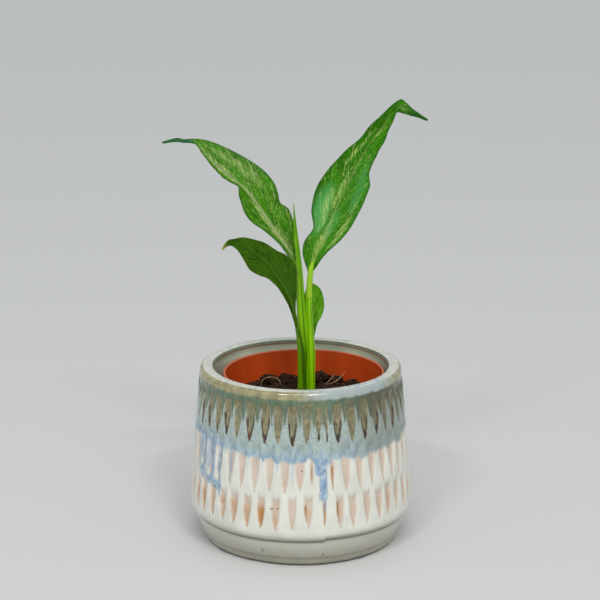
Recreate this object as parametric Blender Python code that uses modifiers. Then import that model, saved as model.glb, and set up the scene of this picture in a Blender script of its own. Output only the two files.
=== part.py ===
"""A young peace lily in a plastic nursery pot, standing inside a glazed ceramic planter.

Every physical piece is its own object. The origin is on the planter's axis, at the surface that the
planter's bumper pads stand on. +Z is up and -Y is the front. Sizes below are in millimetres.
"""
import math

import bmesh
import bpy
from mathutils import Vector, noise

MM = 0.001
MERGE_DISTANCE = 0.00005
SEAT_GAP = 0.3          # between two pieces that rest on or stand against each other

# Bumper pads, which lift the planter off the surface
PAD_RADIUS = 4.0
PAD_HEIGHT = 0.6
PAD_TAPER = 0.3
PAD_EDGE_INSET = 3.4    # from the edge of the planter's underside in to a pad's centre
PAD_COUNT = 4
PAD_FIRST_ANGLE = -53.0
PAD_SIDES = 20

# Ceramic planter
PLANTER_HEIGHT = 66.3
RIM_RADIUS = 37.4
WALL_BASE_RADIUS = 41.8
FOOT_RADIUS = 36.2
PLANTER_WALL = 5.0
PLANTER_FLOOR = 8.0
FOOT_STEP_HEIGHT = 11.1
FOOT_STEP_DEPTH = 0.9
SHOULDER_HEIGHT = 3.4
SHOULDER_BULGE = 0.1    # how far the shoulder stands out past the wall's widest ring
SHOULDER_TUCK = 0.6     # how far it comes back in at the step
STEP_ROUND = 0.4
FOOT_BELLY = 0.3        # how far the foot's side stands out from a straight cone
FOOT_EDGE_WIDTH = 0.5
FOOT_EDGE_HEIGHT = 0.8
UNDERSIDE_MOUNT_RADIUS = 25.0
PLANTER_STEPS = 56

# Nursery pot, which stands on the planter's floor
MOUTH_CLEARANCE = 2.4
NURSERY_HEIGHT = 53.9
NURSERY_TAPER = 8.0     # how much narrower the base is than the lip
NURSERY_WALL = 0.8
NURSERY_LIP_WIDTH = 1.2
NURSERY_LIP_HEIGHT = 4.5
NURSERY_LIP_SLOPE = 0.8
NURSERY_CORNER = 1.0    # bevel round the base, inside and out
NURSERY_OFFSET = 1.1    # it stands a little to the right of the planter's axis
DRAIN_HOLE_RADIUS = 2.6
DRAIN_HOLE_COUNT = 6
DRAIN_HOLE_SIDES = 12
DRAIN_RING_SHARE = 0.6  # of the base's radius
NURSERY_STEPS = 44

# Compost
CROWN_DEPTH = 6.8       # from the nursery pot's lip down to the compost at the plant
MOUND_DROP = 4.1        # from the plant down to the nursery pot's wall
MOUND_SHAPE = 1.3
LUMP_HEIGHT = 0.5
LUMP_SPACING = 7.0
PLANTING_DEPTH = 7.0
WALL_MARGIN = 0.1       # more room at the wall for the lumps
SOIL_STEPS = 30

# Loose crumbs: x, y, half-length and half-width as shares of the compost's radius, height, and turn
# in degrees
CRUMBS = (
    (-0.46, 0.48, 0.122, 0.097, 3.6, 20.0),
    (-0.24, 0.53, 0.097, 0.086, 3.4, -35.0),
    (-0.23, 0.31, 0.072, 0.065, 2.6, 60.0),
    (-0.69, 0.35, 0.086, 0.065, 2.4, -10.0),
    (0.22, 0.55, 0.133, 0.101, 3.8, 15.0),
    (0.45, 0.49, 0.094, 0.083, 3.0, 70.0),
    (0.66, 0.38, 0.108, 0.083, 3.2, -25.0),
    (-0.37, -0.35, 0.101, 0.079, 2.8, 40.0),
    (0.25, -0.45, 0.112, 0.083, 2.8, -15.0),
    (-0.67, -0.08, 0.076, 0.065, 2.2, 80.0),
)
CRUMB_GAP = 0.4
CRUMB_ROUGHNESS = 0.16
CRUMB_KNOB_COUNT = 1.7  # knobbles over a crumb's half-length
CRUMB_LIFT = 0.35       # of its height: the middle above the compost
CRUMB_HALF_HEIGHT = 0.6

# Loose fibres: x, y as shares of the compost's radius, and height above the compost there
FIBRES = (
    ((-0.58, 0.275, 0.7), (-0.575, 0.28, 2.4), (-0.52, 0.28, 3.9), (-0.42, 0.275, 4.0),
     (-0.34, 0.27, 2.7), (-0.315, 0.23, 1.2)),
    ((0.30, 0.26, 0.8), (0.35, 0.275, 2.2), (0.40, 0.29, 4.0), (0.42, 0.29, 5.4)),
    ((0.31, 0.21, 0.8), (0.41, 0.225, 2.0), (0.495, 0.255, 3.9), (0.57, 0.27, 6.6)),
)
FIBRE_RADIUS = 0.22

# Leaf stalks and the rolled new leaf: radius where each leaves the compost
LOWER_STALK_RADIUS = 1.5
RIGHT_STALK_RADIUS = 1.3
SPEAR_RADIUS = 0.85
LEFT_STALK_RADIUS = 1.1
BACK_STALK_RADIUS = 0.8
STALK_SPACING = 0.5     # between neighbours in the bundle, at the compost
BUNDLE_FRONT = (-0.5, -2.2)
RIGHT_FROM_LOWER = 21.0     # directions between neighbours in the bundle, in degrees from +X
SPEAR_FROM_RIGHT = 117.0
LEFT_FROM_SPEAR = 148.0
BACK_FROM_SPEAR = 43.0
CUTTER_OVERSHOOT = 6.0
BLADE_THICKNESS = 0.6
BLADE_SPANS = 6
BLADE_ROWS_PER_STATION = 2
STALK_STEPS_PER_POINT = 2

# Stalk routes: x, y from the stalk's own foot, height above the compost, share of the foot's radius
LOWER_STALK = (
    (0.0, 0.0, 0.0, 1.0), (-0.1, 0.0, 7.0, 0.95), (-0.3, 0.0, 12.4, 0.85),
    (-0.8, 0.0, 17.4, 0.7), (-1.5, -0.2, 21.7, 0.5), (-2.05, -0.4, 24.4, 0.4),
)
RIGHT_STALK = (
    (0.0, 0.0, 0.0, 1.0), (0.0, 0.1, 7.4, 0.95), (0.0, 0.2, 15.1, 0.9), (-0.3, 0.4, 22.8, 0.88),
    (-0.6, 0.5, 29.6, 0.85), (-0.7, 0.5, 35.7, 0.95), (-0.5, 0.5, 40.3, 0.9), (0.0, 0.5, 45.8, 0.6),
)
SPEAR = (
    (0.0, 0.0, 0.0, 1.0), (-0.7, -0.5, 8.8, 1.1), (-1.3, -1.0, 16.7, 1.2), (-1.8, -1.3, 24.5, 1.2),
    (-2.2, -1.6, 32.3, 1.15), (-2.5, -1.8, 38.8, 1.1), (-2.9, -1.9, 44.9, 1.05),
    (-3.5, -1.9, 51.3, 0.95), (-4.1, -1.9, 56.9, 0.8), (-4.7, -1.9, 63.7, 0.5), (-5.1, -1.9, 70.4, 0.12),
)
LEFT_STALK = (
    (0.0, 0.0, 0.0, 1.0), (0.1, 0.0, 8.6, 1.0), (0.0, 0.0, 16.4, 1.0), (-0.4, -0.1, 24.0, 0.95),
    (-0.8, -0.2, 31.7, 0.9), (-1.2, -0.2, 38.1, 0.8), (-1.75, -0.1, 44.4, 0.55),
)
BACK_STALK = (
    (0.0, 0.0, 0.0, 1.0), (0.4, 0.1, 6.3, 1.0), (0.6, 0.3, 12.1, 0.85), (0.5, 0.5, 18.9, 0.5),
)

# Leaf blades: at each station from base to tip the midrib, the left edge and the right edge, each as
# x, y from the stalk's foot and height above the compost
RIGHT_BLADE = (
    ((0.1, 0.5, 46.4), (-0.8, 0.2, 46.4), (1.2, 0.2, 47.0)),
    ((2.0, 1.5, 51.8), (-3.0, 0.0, 52.1), (5.9, -0.5, 52.6)),
    ((4.2, 3.0, 56.7), (-2.0, 1.5, 57.4), (11.3, 0.5, 57.3)),
    ((7.2, 5.0, 62.7), (1.3, 4.0, 62.5), (15.7, 2.0, 63.3)),
    ((9.9, 7.0, 69.0), (0.6, 5.5, 68.9), (19.0, 3.5, 69.7)),
    ((12.9, 9.0, 75.0), (2.2, 6.5, 75.5), (21.5, 6.0, 75.6)),
    ((15.8, 10.5, 80.7), (5.9, 8.0, 81.1), (21.6, 10.0, 80.4)),
    ((18.8, 12.5, 85.9), (11.7, 10.0, 87.3), (24.4, 11.0, 86.9)),
    ((22.1, 14.5, 90.8), (17.6, 12.0, 92.1), (27.0, 12.5, 91.5)),
    ((25.5, 16.5, 95.3), (22.2, 14.0, 97.2), (28.9, 14.5, 95.8)),
    ((29.0, 18.5, 99.6), (27.1, 16.5, 101.4), (30.8, 16.5, 99.5)),
    ((32.2, 20.2, 103.2), (32.9, 20.0, 105.6), (31.9, 19.0, 101.0)),
    ((34.5, 21.0, 102.9), (35.1, 22.5, 104.1), (34.0, 22.0, 100.2)),
    ((37.1, 22.0, 101.0), (37.6, 24.0, 101.9), (37.1, 23.5, 99.3)),
    ((40.6, 24.0, 98.6), (40.9, 25.0, 99.1), (40.7, 25.0, 97.9)),
    ((43.6, 26.0, 97.0), (43.7, 26.0, 97.4), (43.6, 26.0, 96.7)),
)
LEFT_BLADE = (
    ((-1.8, -0.1, 45.0), (-2.5, -0.4, 45.1), (-1.1, 0.2, 44.9)),
    ((-3.4, 0.9, 49.2), (-4.9, -1.1, 50.4), (-1.4, 3.9, 50.0)),
    ((-5.8, 1.9, 53.3), (-8.5, -1.1, 55.0), (-1.9, 5.9, 55.6)),
    ((-8.6, 2.9, 57.1), (-12.9, -0.6, 59.4), (-2.9, 7.4, 60.6)),
    ((-11.7, 3.9, 61.6), (-17.7, -0.1, 62.4), (-4.7, 8.4, 65.7)),
    ((-14.7, 4.9, 65.9), (-21.2, 0.4, 67.0), (-7.9, 9.4, 68.1)),
    ((-17.6, 5.9, 70.0), (-22.7, 1.4, 71.7), (-9.0, 10.4, 71.9)),
    ((-20.6, 6.9, 73.7), (-23.3, 3.4, 75.7), (-10.5, 11.4, 75.7)),
    ((-23.7, 7.9, 76.2), (-25.1, 4.9, 76.6), (-14.2, 12.4, 79.8)),
    ((-27.4, 9.4, 79.1), (-29.6, 7.4, 78.5), (-20.1, 13.4, 83.9)),
    ((-31.2, 10.9, 81.8), (-33.0, 9.9, 82.0), (-26.4, 14.4, 87.1)),
    ((-34.7, 12.4, 84.9), (-36.1, 11.9, 85.3), (-32.7, 15.4, 89.8)),
    ((-37.7, 13.9, 88.6), (-38.3, 13.5, 88.0), (-37.0, 15.9, 90.7)),
    ((-39.9, 14.9, 90.2), (-39.9, 14.2, 89.5), (-40.1, 16.4, 91.0)),
    ((-43.9, 15.9, 90.2), (-43.8, 14.9, 89.9), (-43.9, 16.9, 90.6)),
    ((-46.7, 16.9, 90.4), (-46.7, 15.9, 90.0), (-46.7, 17.5, 91.0)),
    ((-51.9, 17.9, 89.3), (-51.9, 17.7, 89.0), (-51.9, 18.1, 89.6)),
)
LOWER_BLADE = (
    ((-2.15, -0.45, 24.9), (-2.7, -0.7, 25.0), (-1.6, -0.3, 24.9)),
    ((-3.3, -1.6, 30.1), (-4.1, -2.0, 30.2), (-2.5, -1.0, 29.6)),
    ((-4.8, -3.0, 35.4), (-6.1, -4.0, 35.7), (-2.4, -1.2, 35.7)),
    ((-6.9, -4.8, 40.4), (-8.9, -6.4, 40.8), (-2.2, -1.8, 42.3)),
    ((-9.5, -6.8, 45.4), (-12.3, -8.6, 44.8), (-2.5, -2.8, 47.8)),
    ((-12.1, -8.6, 49.6), (-15.9, -10.0, 46.6), (-5.7, -4.8, 52.6)),
    ((-15.2, -10.2, 53.2), (-19.0, -11.2, 48.8), (-9.4, -6.8, 55.0)),
    ((-18.2, -11.8, 56.1), (-20.9, -12.6, 52.4), (-13.2, -9.3, 58.2)),
    ((-21.0, -13.2, 58.1), (-22.8, -14.0, 56.1), (-16.7, -11.6, 60.0)),
    ((-23.6, -14.4, 59.3), (-24.7, -15.0, 58.2), (-20.8, -13.8, 61.3)),
    ((-25.7, -15.4, 59.7), (-26.1, -16.0, 58.9), (-24.0, -15.3, 61.2)),
    ((-27.3, -16.4, 59.4), (-27.1, -16.8, 58.7), (-26.6, -16.4, 60.9)),
    ((-28.6, -17.4, 57.8), (-28.5, -17.5, 57.4), (-28.8, -17.3, 58.2)),
)
BACK_BLADE = (
    ((0.5, 0.6, 19.5), (0.0, 0.5, 19.5), (1.0, 0.5, 19.5)),
    ((0.6, 1.5, 23.0), (-1.1, 0.9, 23.5), (1.9, 1.1, 23.5)),
    ((0.8, 2.5, 26.6), (-2.0, 1.5, 27.6), (3.6, 1.7, 26.8)),
    ((1.0, 3.7, 30.5), (-2.6, 2.3, 31.6), (4.6, 2.7, 30.4)),
    ((1.0, 4.9, 34.0), (-2.4, 3.5, 35.2), (4.2, 4.1, 33.9)),
    ((0.6, 6.1, 36.4), (-1.5, 4.9, 37.5), (2.8, 5.5, 36.6)),
    ((0.0, 7.3, 38.1), (-0.4, 7.2, 38.2), (0.4, 7.2, 38.0)),
)

# Heights and radii that follow from the sizes above
PLANTER_BASE_Z = PAD_HEIGHT + SEAT_GAP
PLANTER_FLOOR_Z = PLANTER_BASE_Z + PLANTER_FLOOR
MOUTH_RADIUS = RIM_RADIUS - PLANTER_WALL
NURSERY_BASE_Z = PLANTER_FLOOR_Z + SEAT_GAP
NURSERY_TOP_Z = NURSERY_BASE_Z + NURSERY_HEIGHT
NURSERY_LIP_RADIUS = MOUTH_RADIUS - MOUTH_CLEARANCE
NURSERY_BASE_RADIUS = NURSERY_LIP_RADIUS - NURSERY_TAPER
CROWN_Z = NURSERY_TOP_Z - CROWN_DEPTH


def clear_scene():
    for old in list(bpy.data.objects):
        bpy.data.objects.remove(old, do_unlink=True)


def new_collection(name):
    collection = bpy.data.collections.new(name)
    bpy.context.scene.collection.children.link(collection)
    return collection


def make_material(name, colour, roughness):
    material = bpy.data.materials.new(name)
    material.use_nodes = True
    shader = material.node_tree.nodes["Principled BSDF"]
    shader.inputs["Base Color"].default_value = (*colour, 1.0)
    shader.inputs["Roughness"].default_value = roughness
    shader.inputs["Metallic"].default_value = 0.0
    return material


def add_piece(name, data, material, collection):
    piece = bpy.data.objects.new(name, data)
    data.materials.clear()
    data.materials.append(material)
    collection.objects.link(piece)
    return piece


def apply_modifiers(piece):
    """Replace a piece by a plain mesh of its evaluated shape, with loose caps welded."""
    bpy.context.view_layer.update()
    graph = bpy.context.evaluated_depsgraph_get()
    mesh = bpy.data.meshes.new_from_object(piece.evaluated_get(graph))
    edit = bmesh.new()
    edit.from_mesh(mesh)
    bmesh.ops.remove_doubles(edit, verts=edit.verts, dist=MERGE_DISTANCE)
    bmesh.ops.recalc_face_normals(edit, faces=edit.faces)
    edit.to_mesh(mesh)
    edit.free()
    name = piece.name
    material = piece.data.materials[0]
    collection = piece.users_collection[0]
    matrix = piece.matrix_world.copy()
    bpy.data.objects.remove(piece, do_unlink=True)
    plain = add_piece(name, mesh, material, collection)
    plain.matrix_world = matrix
    return plain


def turned(name, profile, steps, material, collection):
    """Turn a closed profile of (radius, height) pairs about the Z axis."""
    mesh = bpy.data.meshes.new(name)
    points = [(radius * MM, 0.0, height * MM) for radius, height in profile]
    edges = [(i, i + 1) for i in range(len(points) - 1)]
    mesh.from_pydata(points, edges, [])
    piece = add_piece(name, mesh, material, collection)
    screw = piece.modifiers.new("Turn", "SCREW")
    screw.axis = "Z"
    screw.steps = steps
    screw.render_steps = steps
    screw.use_merge_vertices = True
    screw.merge_threshold = MERGE_DISTANCE
    screw.use_smooth_shade = True
    return piece


def arc(centre, radius, start, end, count):
    """Points on an arc, with its angles in degrees from +radius towards +height."""
    angles = [math.radians(start + (end - start) * i / (count - 1)) for i in range(count)]
    return [(centre[0] + radius * math.cos(a), centre[1] + radius * math.sin(a)) for a in angles]


def smooth_path(points, steps):
    """Catmull-Rom curve through points of any dimension."""
    rows = [tuple(2.0 * a - b for a, b in zip(points[0], points[1])), *points]
    rows.append(tuple(2.0 * a - b for a, b in zip(points[-1], points[-2])))
    path = []
    for i in range(1, len(rows) - 2):
        for step in range(steps):
            t = step / steps
            weights = (
                -0.5 * t + t * t - 0.5 * t ** 3,
                1.0 - 2.5 * t * t + 1.5 * t ** 3,
                0.5 * t + 2.0 * t * t - 1.5 * t ** 3,
                -0.5 * t * t + 0.5 * t ** 3,
            )
            corners = rows[i - 1:i + 3]
            path.append(tuple(sum(w * c[k] for w, c in zip(weights, corners))
                              for k in range(len(points[0]))))
    path.append(tuple(points[-1]))
    return path


def tube(name, path, radius, material, collection):
    """A closed tube along a path of (x, y, z, share of the radius)."""
    curve = bpy.data.curves.new(name, "CURVE")
    curve.dimensions = "3D"
    curve.bevel_depth = radius * MM
    curve.bevel_resolution = 2
    curve.use_fill_caps = True
    spline = curve.splines.new("POLY")
    spline.points.add(len(path) - 1)
    for point, (x, y, z, share) in zip(spline.points, path):
        point.co = (x * MM, y * MM, z * MM, 1.0)
        point.radius = share
    return add_piece(name, curve, material, collection)


def planter_outer_radius(height):
    """Radius of the straight outer wall at a height above the surface."""
    foot_top = FOOT_STEP_HEIGHT + SHOULDER_HEIGHT
    rise = (height - foot_top) / (PLANTER_HEIGHT - foot_top)
    return WALL_BASE_RADIUS + (RIM_RADIUS - WALL_BASE_RADIUS) * rise


def build_planter(material, collection):
    floor_fillet = PLANTER_WALL
    shoulder_top = FOOT_STEP_HEIGHT + SHOULDER_HEIGHT
    inner_low = PLANTER_FLOOR_Z + floor_fillet
    inner_low_radius = planter_outer_radius(inner_low) - PLANTER_WALL
    rim_round = 0.5 * PLANTER_WALL
    rim_z = PLANTER_HEIGHT - rim_round
    rim_centre = (planter_outer_radius(rim_z) - rim_round, rim_z)
    step_radius = WALL_BASE_RADIUS - SHOULDER_TUCK
    foot_side = step_radius - FOOT_STEP_DEPTH
    profile = [(0.0, PLANTER_FLOOR_Z), (0.5 * inner_low_radius, PLANTER_FLOOR_Z)]
    profile += arc((inner_low_radius - floor_fillet, inner_low), floor_fillet, -90.0, 0.0, 4)
    inner_middle = 0.5 * (inner_low + rim_z)
    profile += [(planter_outer_radius(inner_middle) - PLANTER_WALL, inner_middle)]
    profile += arc(rim_centre, rim_round, 180.0, 0.0, 7)
    wall_heights = [shoulder_top + share * (rim_z - shoulder_top) for share in (0.67, 0.33)]
    profile += [(planter_outer_radius(height), height) for height in wall_heights]
    profile += [
        (WALL_BASE_RADIUS, shoulder_top),
        (WALL_BASE_RADIUS + SHOULDER_BULGE, shoulder_top - 0.5 * SHOULDER_HEIGHT),
        (step_radius, FOOT_STEP_HEIGHT),
        (foot_side, FOOT_STEP_HEIGHT - STEP_ROUND),
        (0.5 * (foot_side + FOOT_RADIUS) + FOOT_BELLY, 0.5 * (FOOT_STEP_HEIGHT + PLANTER_BASE_Z)),
        (FOOT_RADIUS + FOOT_EDGE_WIDTH, PLANTER_BASE_Z + FOOT_EDGE_HEIGHT),
        (FOOT_RADIUS, PLANTER_BASE_Z),
        (UNDERSIDE_MOUNT_RADIUS, PLANTER_BASE_Z),
        (0.0, PLANTER_BASE_Z),
    ]
    return turned("ceramic_planter", profile, PLANTER_STEPS, material, collection)


def build_pads(material, collection):
    ring_radius = FOOT_RADIUS - PAD_EDGE_INSET - 0.5 * SEAT_GAP
    for index in range(PAD_COUNT):
        angle = math.radians(PAD_FIRST_ANGLE + 360.0 * index / PAD_COUNT)
        mesh = bpy.data.meshes.new(f"bumper_pad_{index + 1}")
        edit = bmesh.new()
        bmesh.ops.create_cone(edit, cap_ends=True, segments=PAD_SIDES, radius1=PAD_RADIUS * MM,
                              radius2=(PAD_RADIUS - PAD_TAPER) * MM, depth=PAD_HEIGHT * MM)
        edit.to_mesh(mesh)
        edit.free()
        pad = add_piece(mesh.name, mesh, material, collection)
        centre = Vector((ring_radius * math.cos(angle), ring_radius * math.sin(angle), 0.5 * PAD_HEIGHT))
        pad.location = centre * MM


def nursery_inner_radius(height_above_floor):
    """Radius of the nursery pot's inner wall, from its floor up to under its lip."""
    wall_top = NURSERY_LIP_RADIUS - NURSERY_LIP_WIDTH
    wall_height = NURSERY_HEIGHT - NURSERY_LIP_HEIGHT
    share = height_above_floor / wall_height
    return NURSERY_BASE_RADIUS - NURSERY_WALL + (wall_top - NURSERY_BASE_RADIUS + NURSERY_WALL) * share


def build_nursery_pot(material, collection, cutters):
    base = NURSERY_BASE_Z
    top = NURSERY_TOP_Z
    lip_low = top - NURSERY_LIP_HEIGHT
    wall_height = NURSERY_HEIGHT - NURSERY_LIP_HEIGHT
    wall_top = nursery_inner_radius(wall_height)
    lip_inner = NURSERY_LIP_RADIUS - NURSERY_WALL
    round_radius = 0.5 * NURSERY_WALL
    profile = [(0.0, base + NURSERY_WALL)]
    corner_top = NURSERY_WALL + NURSERY_CORNER
    profile += [(nursery_inner_radius(NURSERY_WALL) - NURSERY_CORNER, base + NURSERY_WALL)]
    profile += [(nursery_inner_radius(corner_top), base + corner_top)]
    profile += [(nursery_inner_radius(0.5 * wall_height), base + 0.5 * wall_height)]
    profile += [(wall_top, lip_low), (lip_inner, lip_low + NURSERY_LIP_SLOPE)]
    profile += arc((NURSERY_LIP_RADIUS - round_radius, top - round_radius), round_radius, 180.0, 0.0, 5)
    profile += [(NURSERY_LIP_RADIUS, lip_low), (wall_top + NURSERY_WALL, lip_low)]
    profile += [(NURSERY_BASE_RADIUS, base + NURSERY_CORNER), (NURSERY_BASE_RADIUS - NURSERY_CORNER, base)]
    profile += [(0.0, base)]
    pot = turned("nursery_pot", profile, NURSERY_STEPS, material, collection)
    pot.location.x = NURSERY_OFFSET * MM
    pot = apply_modifiers(pot)
    for index in range(DRAIN_HOLE_COUNT):
        angle = 2.0 * math.pi * (index + 0.5) / DRAIN_HOLE_COUNT
        mesh = bpy.data.meshes.new(f"drain_cutter_{index + 1}")
        edit = bmesh.new()
        bmesh.ops.create_cone(edit, cap_ends=True, segments=DRAIN_HOLE_SIDES, radius1=DRAIN_HOLE_RADIUS * MM,
                              radius2=DRAIN_HOLE_RADIUS * MM, depth=4.0 * NURSERY_WALL * MM)
        edit.to_mesh(mesh)
        edit.free()
        cutter = add_piece(mesh.name, mesh, material, cutters)
        reach = DRAIN_RING_SHARE * NURSERY_BASE_RADIUS
        centre = Vector((NURSERY_OFFSET + reach * math.cos(angle), reach * math.sin(angle), base))
        cutter.location = centre * MM
        cut_with(pot, cutter)
    return apply_modifiers(pot)


def cut_with(piece, cutter):
    cutter.hide_render = True
    cutter.display_type = "WIRE"
    cut = piece.modifiers.new("Cut", "BOOLEAN")
    cut.operation = "DIFFERENCE"
    cut.object = cutter


def compost_radius():
    """Radius of the nursery pot's inner wall at the height of the compost's edge."""
    return nursery_inner_radius(CROWN_Z - MOUND_DROP - NURSERY_BASE_Z)


def soil_height(x, y):
    """Height of the compost above the surface, at x, y from the nursery pot's axis."""
    reach = min(1.0, math.hypot(x, y) / compost_radius())
    lumps = noise.noise(Vector((x / LUMP_SPACING, y / LUMP_SPACING, 3.7)))
    return CROWN_Z - MOUND_DROP * reach ** MOUND_SHAPE + LUMP_HEIGHT * lumps


def build_soil(material, collection, stalk_cutters):
    floor = NURSERY_BASE_Z + NURSERY_WALL + SEAT_GAP
    foot = nursery_inner_radius(NURSERY_WALL) - NURSERY_CORNER - SEAT_GAP
    edge = compost_radius() - SEAT_GAP - WALL_MARGIN
    ring_shares = (0.0, 0.15, 0.3, 0.45, 0.6, 0.75, 0.88, 1.0)
    profile = [(edge * share, CROWN_Z) for share in ring_shares]
    low = nursery_inner_radius(NURSERY_WALL + NURSERY_CORNER) - SEAT_GAP
    profile += [(low, floor + NURSERY_CORNER), (foot, floor), (0.0, floor)]
    soil = turned("potting_soil", profile, SOIL_STEPS, material, collection)
    soil.location.x = NURSERY_OFFSET * MM
    soil = apply_modifiers(soil)
    top = (CROWN_Z - 0.01) * MM
    for vertex in soil.data.vertices:
        if vertex.co.z > top:
            vertex.co.z = soil_height(vertex.co.x / MM, vertex.co.y / MM) * MM
    for cutter in stalk_cutters:
        cut_with(soil, cutter)
    return apply_modifiers(soil)


def build_crumbs(material, collection):
    for index, (*shares, height, turn) in enumerate(CRUMBS):
        x, y, half_length, half_width = (share * compost_radius() for share in shares)
        mesh = bpy.data.meshes.new(f"peat_clump_{index + 1}")
        edit = bmesh.new()
        bmesh.ops.create_icosphere(edit, subdivisions=2, radius=1.0)
        turned_by = math.radians(turn)
        shift = Vector((5.3 * index, 0.0, 0.0))
        for vertex in edit.verts:
            knobble = 1.0 + CRUMB_ROUGHNESS * noise.noise(vertex.co * CRUMB_KNOB_COUNT + shift)
            along = vertex.co.x * half_length * knobble
            across = vertex.co.y * half_width * knobble
            spot_x = x + along * math.cos(turned_by) - across * math.sin(turned_by)
            spot_y = y + along * math.sin(turned_by) + across * math.cos(turned_by)
            lift = soil_height(x, y) + height * (CRUMB_LIFT + CRUMB_HALF_HEIGHT * vertex.co.z * knobble)
            lowest = soil_height(spot_x, spot_y) + CRUMB_GAP
            vertex.co = Vector((NURSERY_OFFSET + spot_x, spot_y, max(lift, lowest))) * MM
        edit.to_mesh(mesh)
        edit.free()
        add_piece(mesh.name, mesh, material, collection)


def build_fibres(material, collection):
    for index, fibre in enumerate(FIBRES):
        spots = [(share_x * compost_radius(), share_y * compost_radius(), rise)
                 for share_x, share_y, rise in fibre]
        route = [(NURSERY_OFFSET + x, y, soil_height(x, y) + rise, 1.0) for x, y, rise in spots]
        tube(f"coir_fibre_{index + 1}", smooth_path(route, 2), FIBRE_RADIUS, material, collection)


def beside(centre, first_radius, second_radius, direction):
    """Foot of a stalk that stands next to another, in a direction in degrees."""
    distance = first_radius + second_radius + STALK_SPACING
    angle = math.radians(direction)
    return (centre[0] + distance * math.cos(angle), centre[1] + distance * math.sin(angle))


def stalk_path(foot, route, deepest):
    """A stalk's route from its planted end upwards, in the object's own frame."""
    below = (route[0][0], route[0][1], -deepest, route[0][3])
    placed = [(NURSERY_OFFSET + foot[0] + x, foot[1] + y, CROWN_Z + z, share)
              for x, y, z, share in (below, *route)]
    return smooth_path(placed, STALK_STEPS_PER_POINT)


def stalk_cutter(name, path, radius, material, cutters):
    """The hole that a stalk stands in: its planted stretch, made wider by the seat gap."""
    grown = (radius + SEAT_GAP) / radius
    buried = [(x, y, z, share * grown) for x, y, z, share in path if z < CROWN_Z + CUTTER_OVERSHOOT]
    x, y, z, share = buried[0]
    buried[0] = (x, y, z - SEAT_GAP, share)
    return apply_modifiers(tube(name, buried, radius, material, cutters))


def build_blade(name, foot, stations, material, collection):
    """A thin leaf blade lofted through its stations, with a rounded channel along its midrib."""
    flat = [tuple(value for point in station for value in point) for station in stations]
    rows = smooth_path(flat, BLADE_ROWS_PER_STATION)
    origin = Vector((NURSERY_OFFSET + foot[0], foot[1], CROWN_Z))
    points = []
    for row in rows:
        midrib, left, right = (Vector(row[k:k + 3]) for k in (0, 3, 6))
        depth = midrib - left.lerp(right, 0.5)
        for span in range(BLADE_SPANS + 1):
            side = 2.0 * span / BLADE_SPANS - 1.0
            edge = left if side < 0.0 else right
            chord = midrib.lerp(edge, abs(side))
            rounding = 0.5 * (abs(side) - side * side)
            points.append((origin + chord + depth * rounding) * MM)
    faces = []
    width = BLADE_SPANS + 1
    for i in range(len(rows) - 1):
        for j in range(BLADE_SPANS):
            first = i * width + j
            faces.append((first, first + 1, first + width + 1, first + width))
    mesh = bpy.data.meshes.new(name)
    mesh.from_pydata(points, [], faces)
    mesh.shade_smooth()
    blade = add_piece(name, mesh, material, collection)
    solid = blade.modifiers.new("Thickness", "SOLIDIFY")
    solid.thickness = BLADE_THICKNESS * MM
    solid.offset = 0.0
    return blade


def build_plant(stalk_material, blade_material, collection, cutters):
    """Stalks, blades and the rolled new leaf; returns the cutters for their holes in the compost."""
    lower = BUNDLE_FRONT
    right = beside(lower, LOWER_STALK_RADIUS, RIGHT_STALK_RADIUS, RIGHT_FROM_LOWER)
    spear = beside(right, RIGHT_STALK_RADIUS, SPEAR_RADIUS, SPEAR_FROM_RIGHT)
    left = beside(spear, SPEAR_RADIUS, LEFT_STALK_RADIUS, LEFT_FROM_SPEAR)
    back = beside(spear, SPEAR_RADIUS, BACK_STALK_RADIUS, BACK_FROM_SPEAR)
    stalks = (
        ("lower_leaf_stalk", lower, LOWER_STALK, LOWER_STALK_RADIUS),
        ("right_leaf_stalk", right, RIGHT_STALK, RIGHT_STALK_RADIUS),
        ("new_leaf_spear", spear, SPEAR, SPEAR_RADIUS),
        ("left_leaf_stalk", left, LEFT_STALK, LEFT_STALK_RADIUS),
        ("back_leaf_stalk", back, BACK_STALK, BACK_STALK_RADIUS),
    )
    holes = []
    for name, foot, route, radius in stalks:
        path = stalk_path(foot, route, PLANTING_DEPTH)
        tube(name, path, radius, stalk_material, collection)
        holes.append(stalk_cutter(f"{name}_cutter", path, radius, stalk_material, cutters))
    build_blade("right_leaf_blade", right, RIGHT_BLADE, blade_material, collection)
    build_blade("left_leaf_blade", left, LEFT_BLADE, blade_material, collection)
    build_blade("lower_leaf_blade", lower, LOWER_BLADE, blade_material, collection)
    build_blade("back_leaf_blade", back, BACK_BLADE, blade_material, collection)
    return holes


def build():
    clear_scene()
    parts = new_collection("potted_peace_lily")
    cutters = new_collection("cutters")
    glaze = make_material("glazed_stoneware", (0.72, 0.71, 0.64), 0.2)
    silicone = make_material("clear_silicone", (0.75, 0.76, 0.75), 0.25)
    terracotta_plastic = make_material("terracotta_plastic", (0.42, 0.09, 0.035), 0.45)
    compost = make_material("compost", (0.018, 0.011, 0.008), 0.95)
    fibre = make_material("coir_fibre", (0.32, 0.16, 0.07), 0.8)
    stalk = make_material("leaf_stalk", (0.22, 0.5, 0.02), 0.4)
    leaf = make_material("leaf_blade", (0.05, 0.2, 0.02), 0.35)
    build_pads(silicone, parts)
    build_planter(glaze, parts)
    build_nursery_pot(terracotta_plastic, parts, cutters)
    holes = build_plant(stalk, leaf, parts, cutters)
    build_soil(compost, parts, holes)
    build_crumbs(compost, parts)
    build_fibres(fibre, parts)


build()
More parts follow.
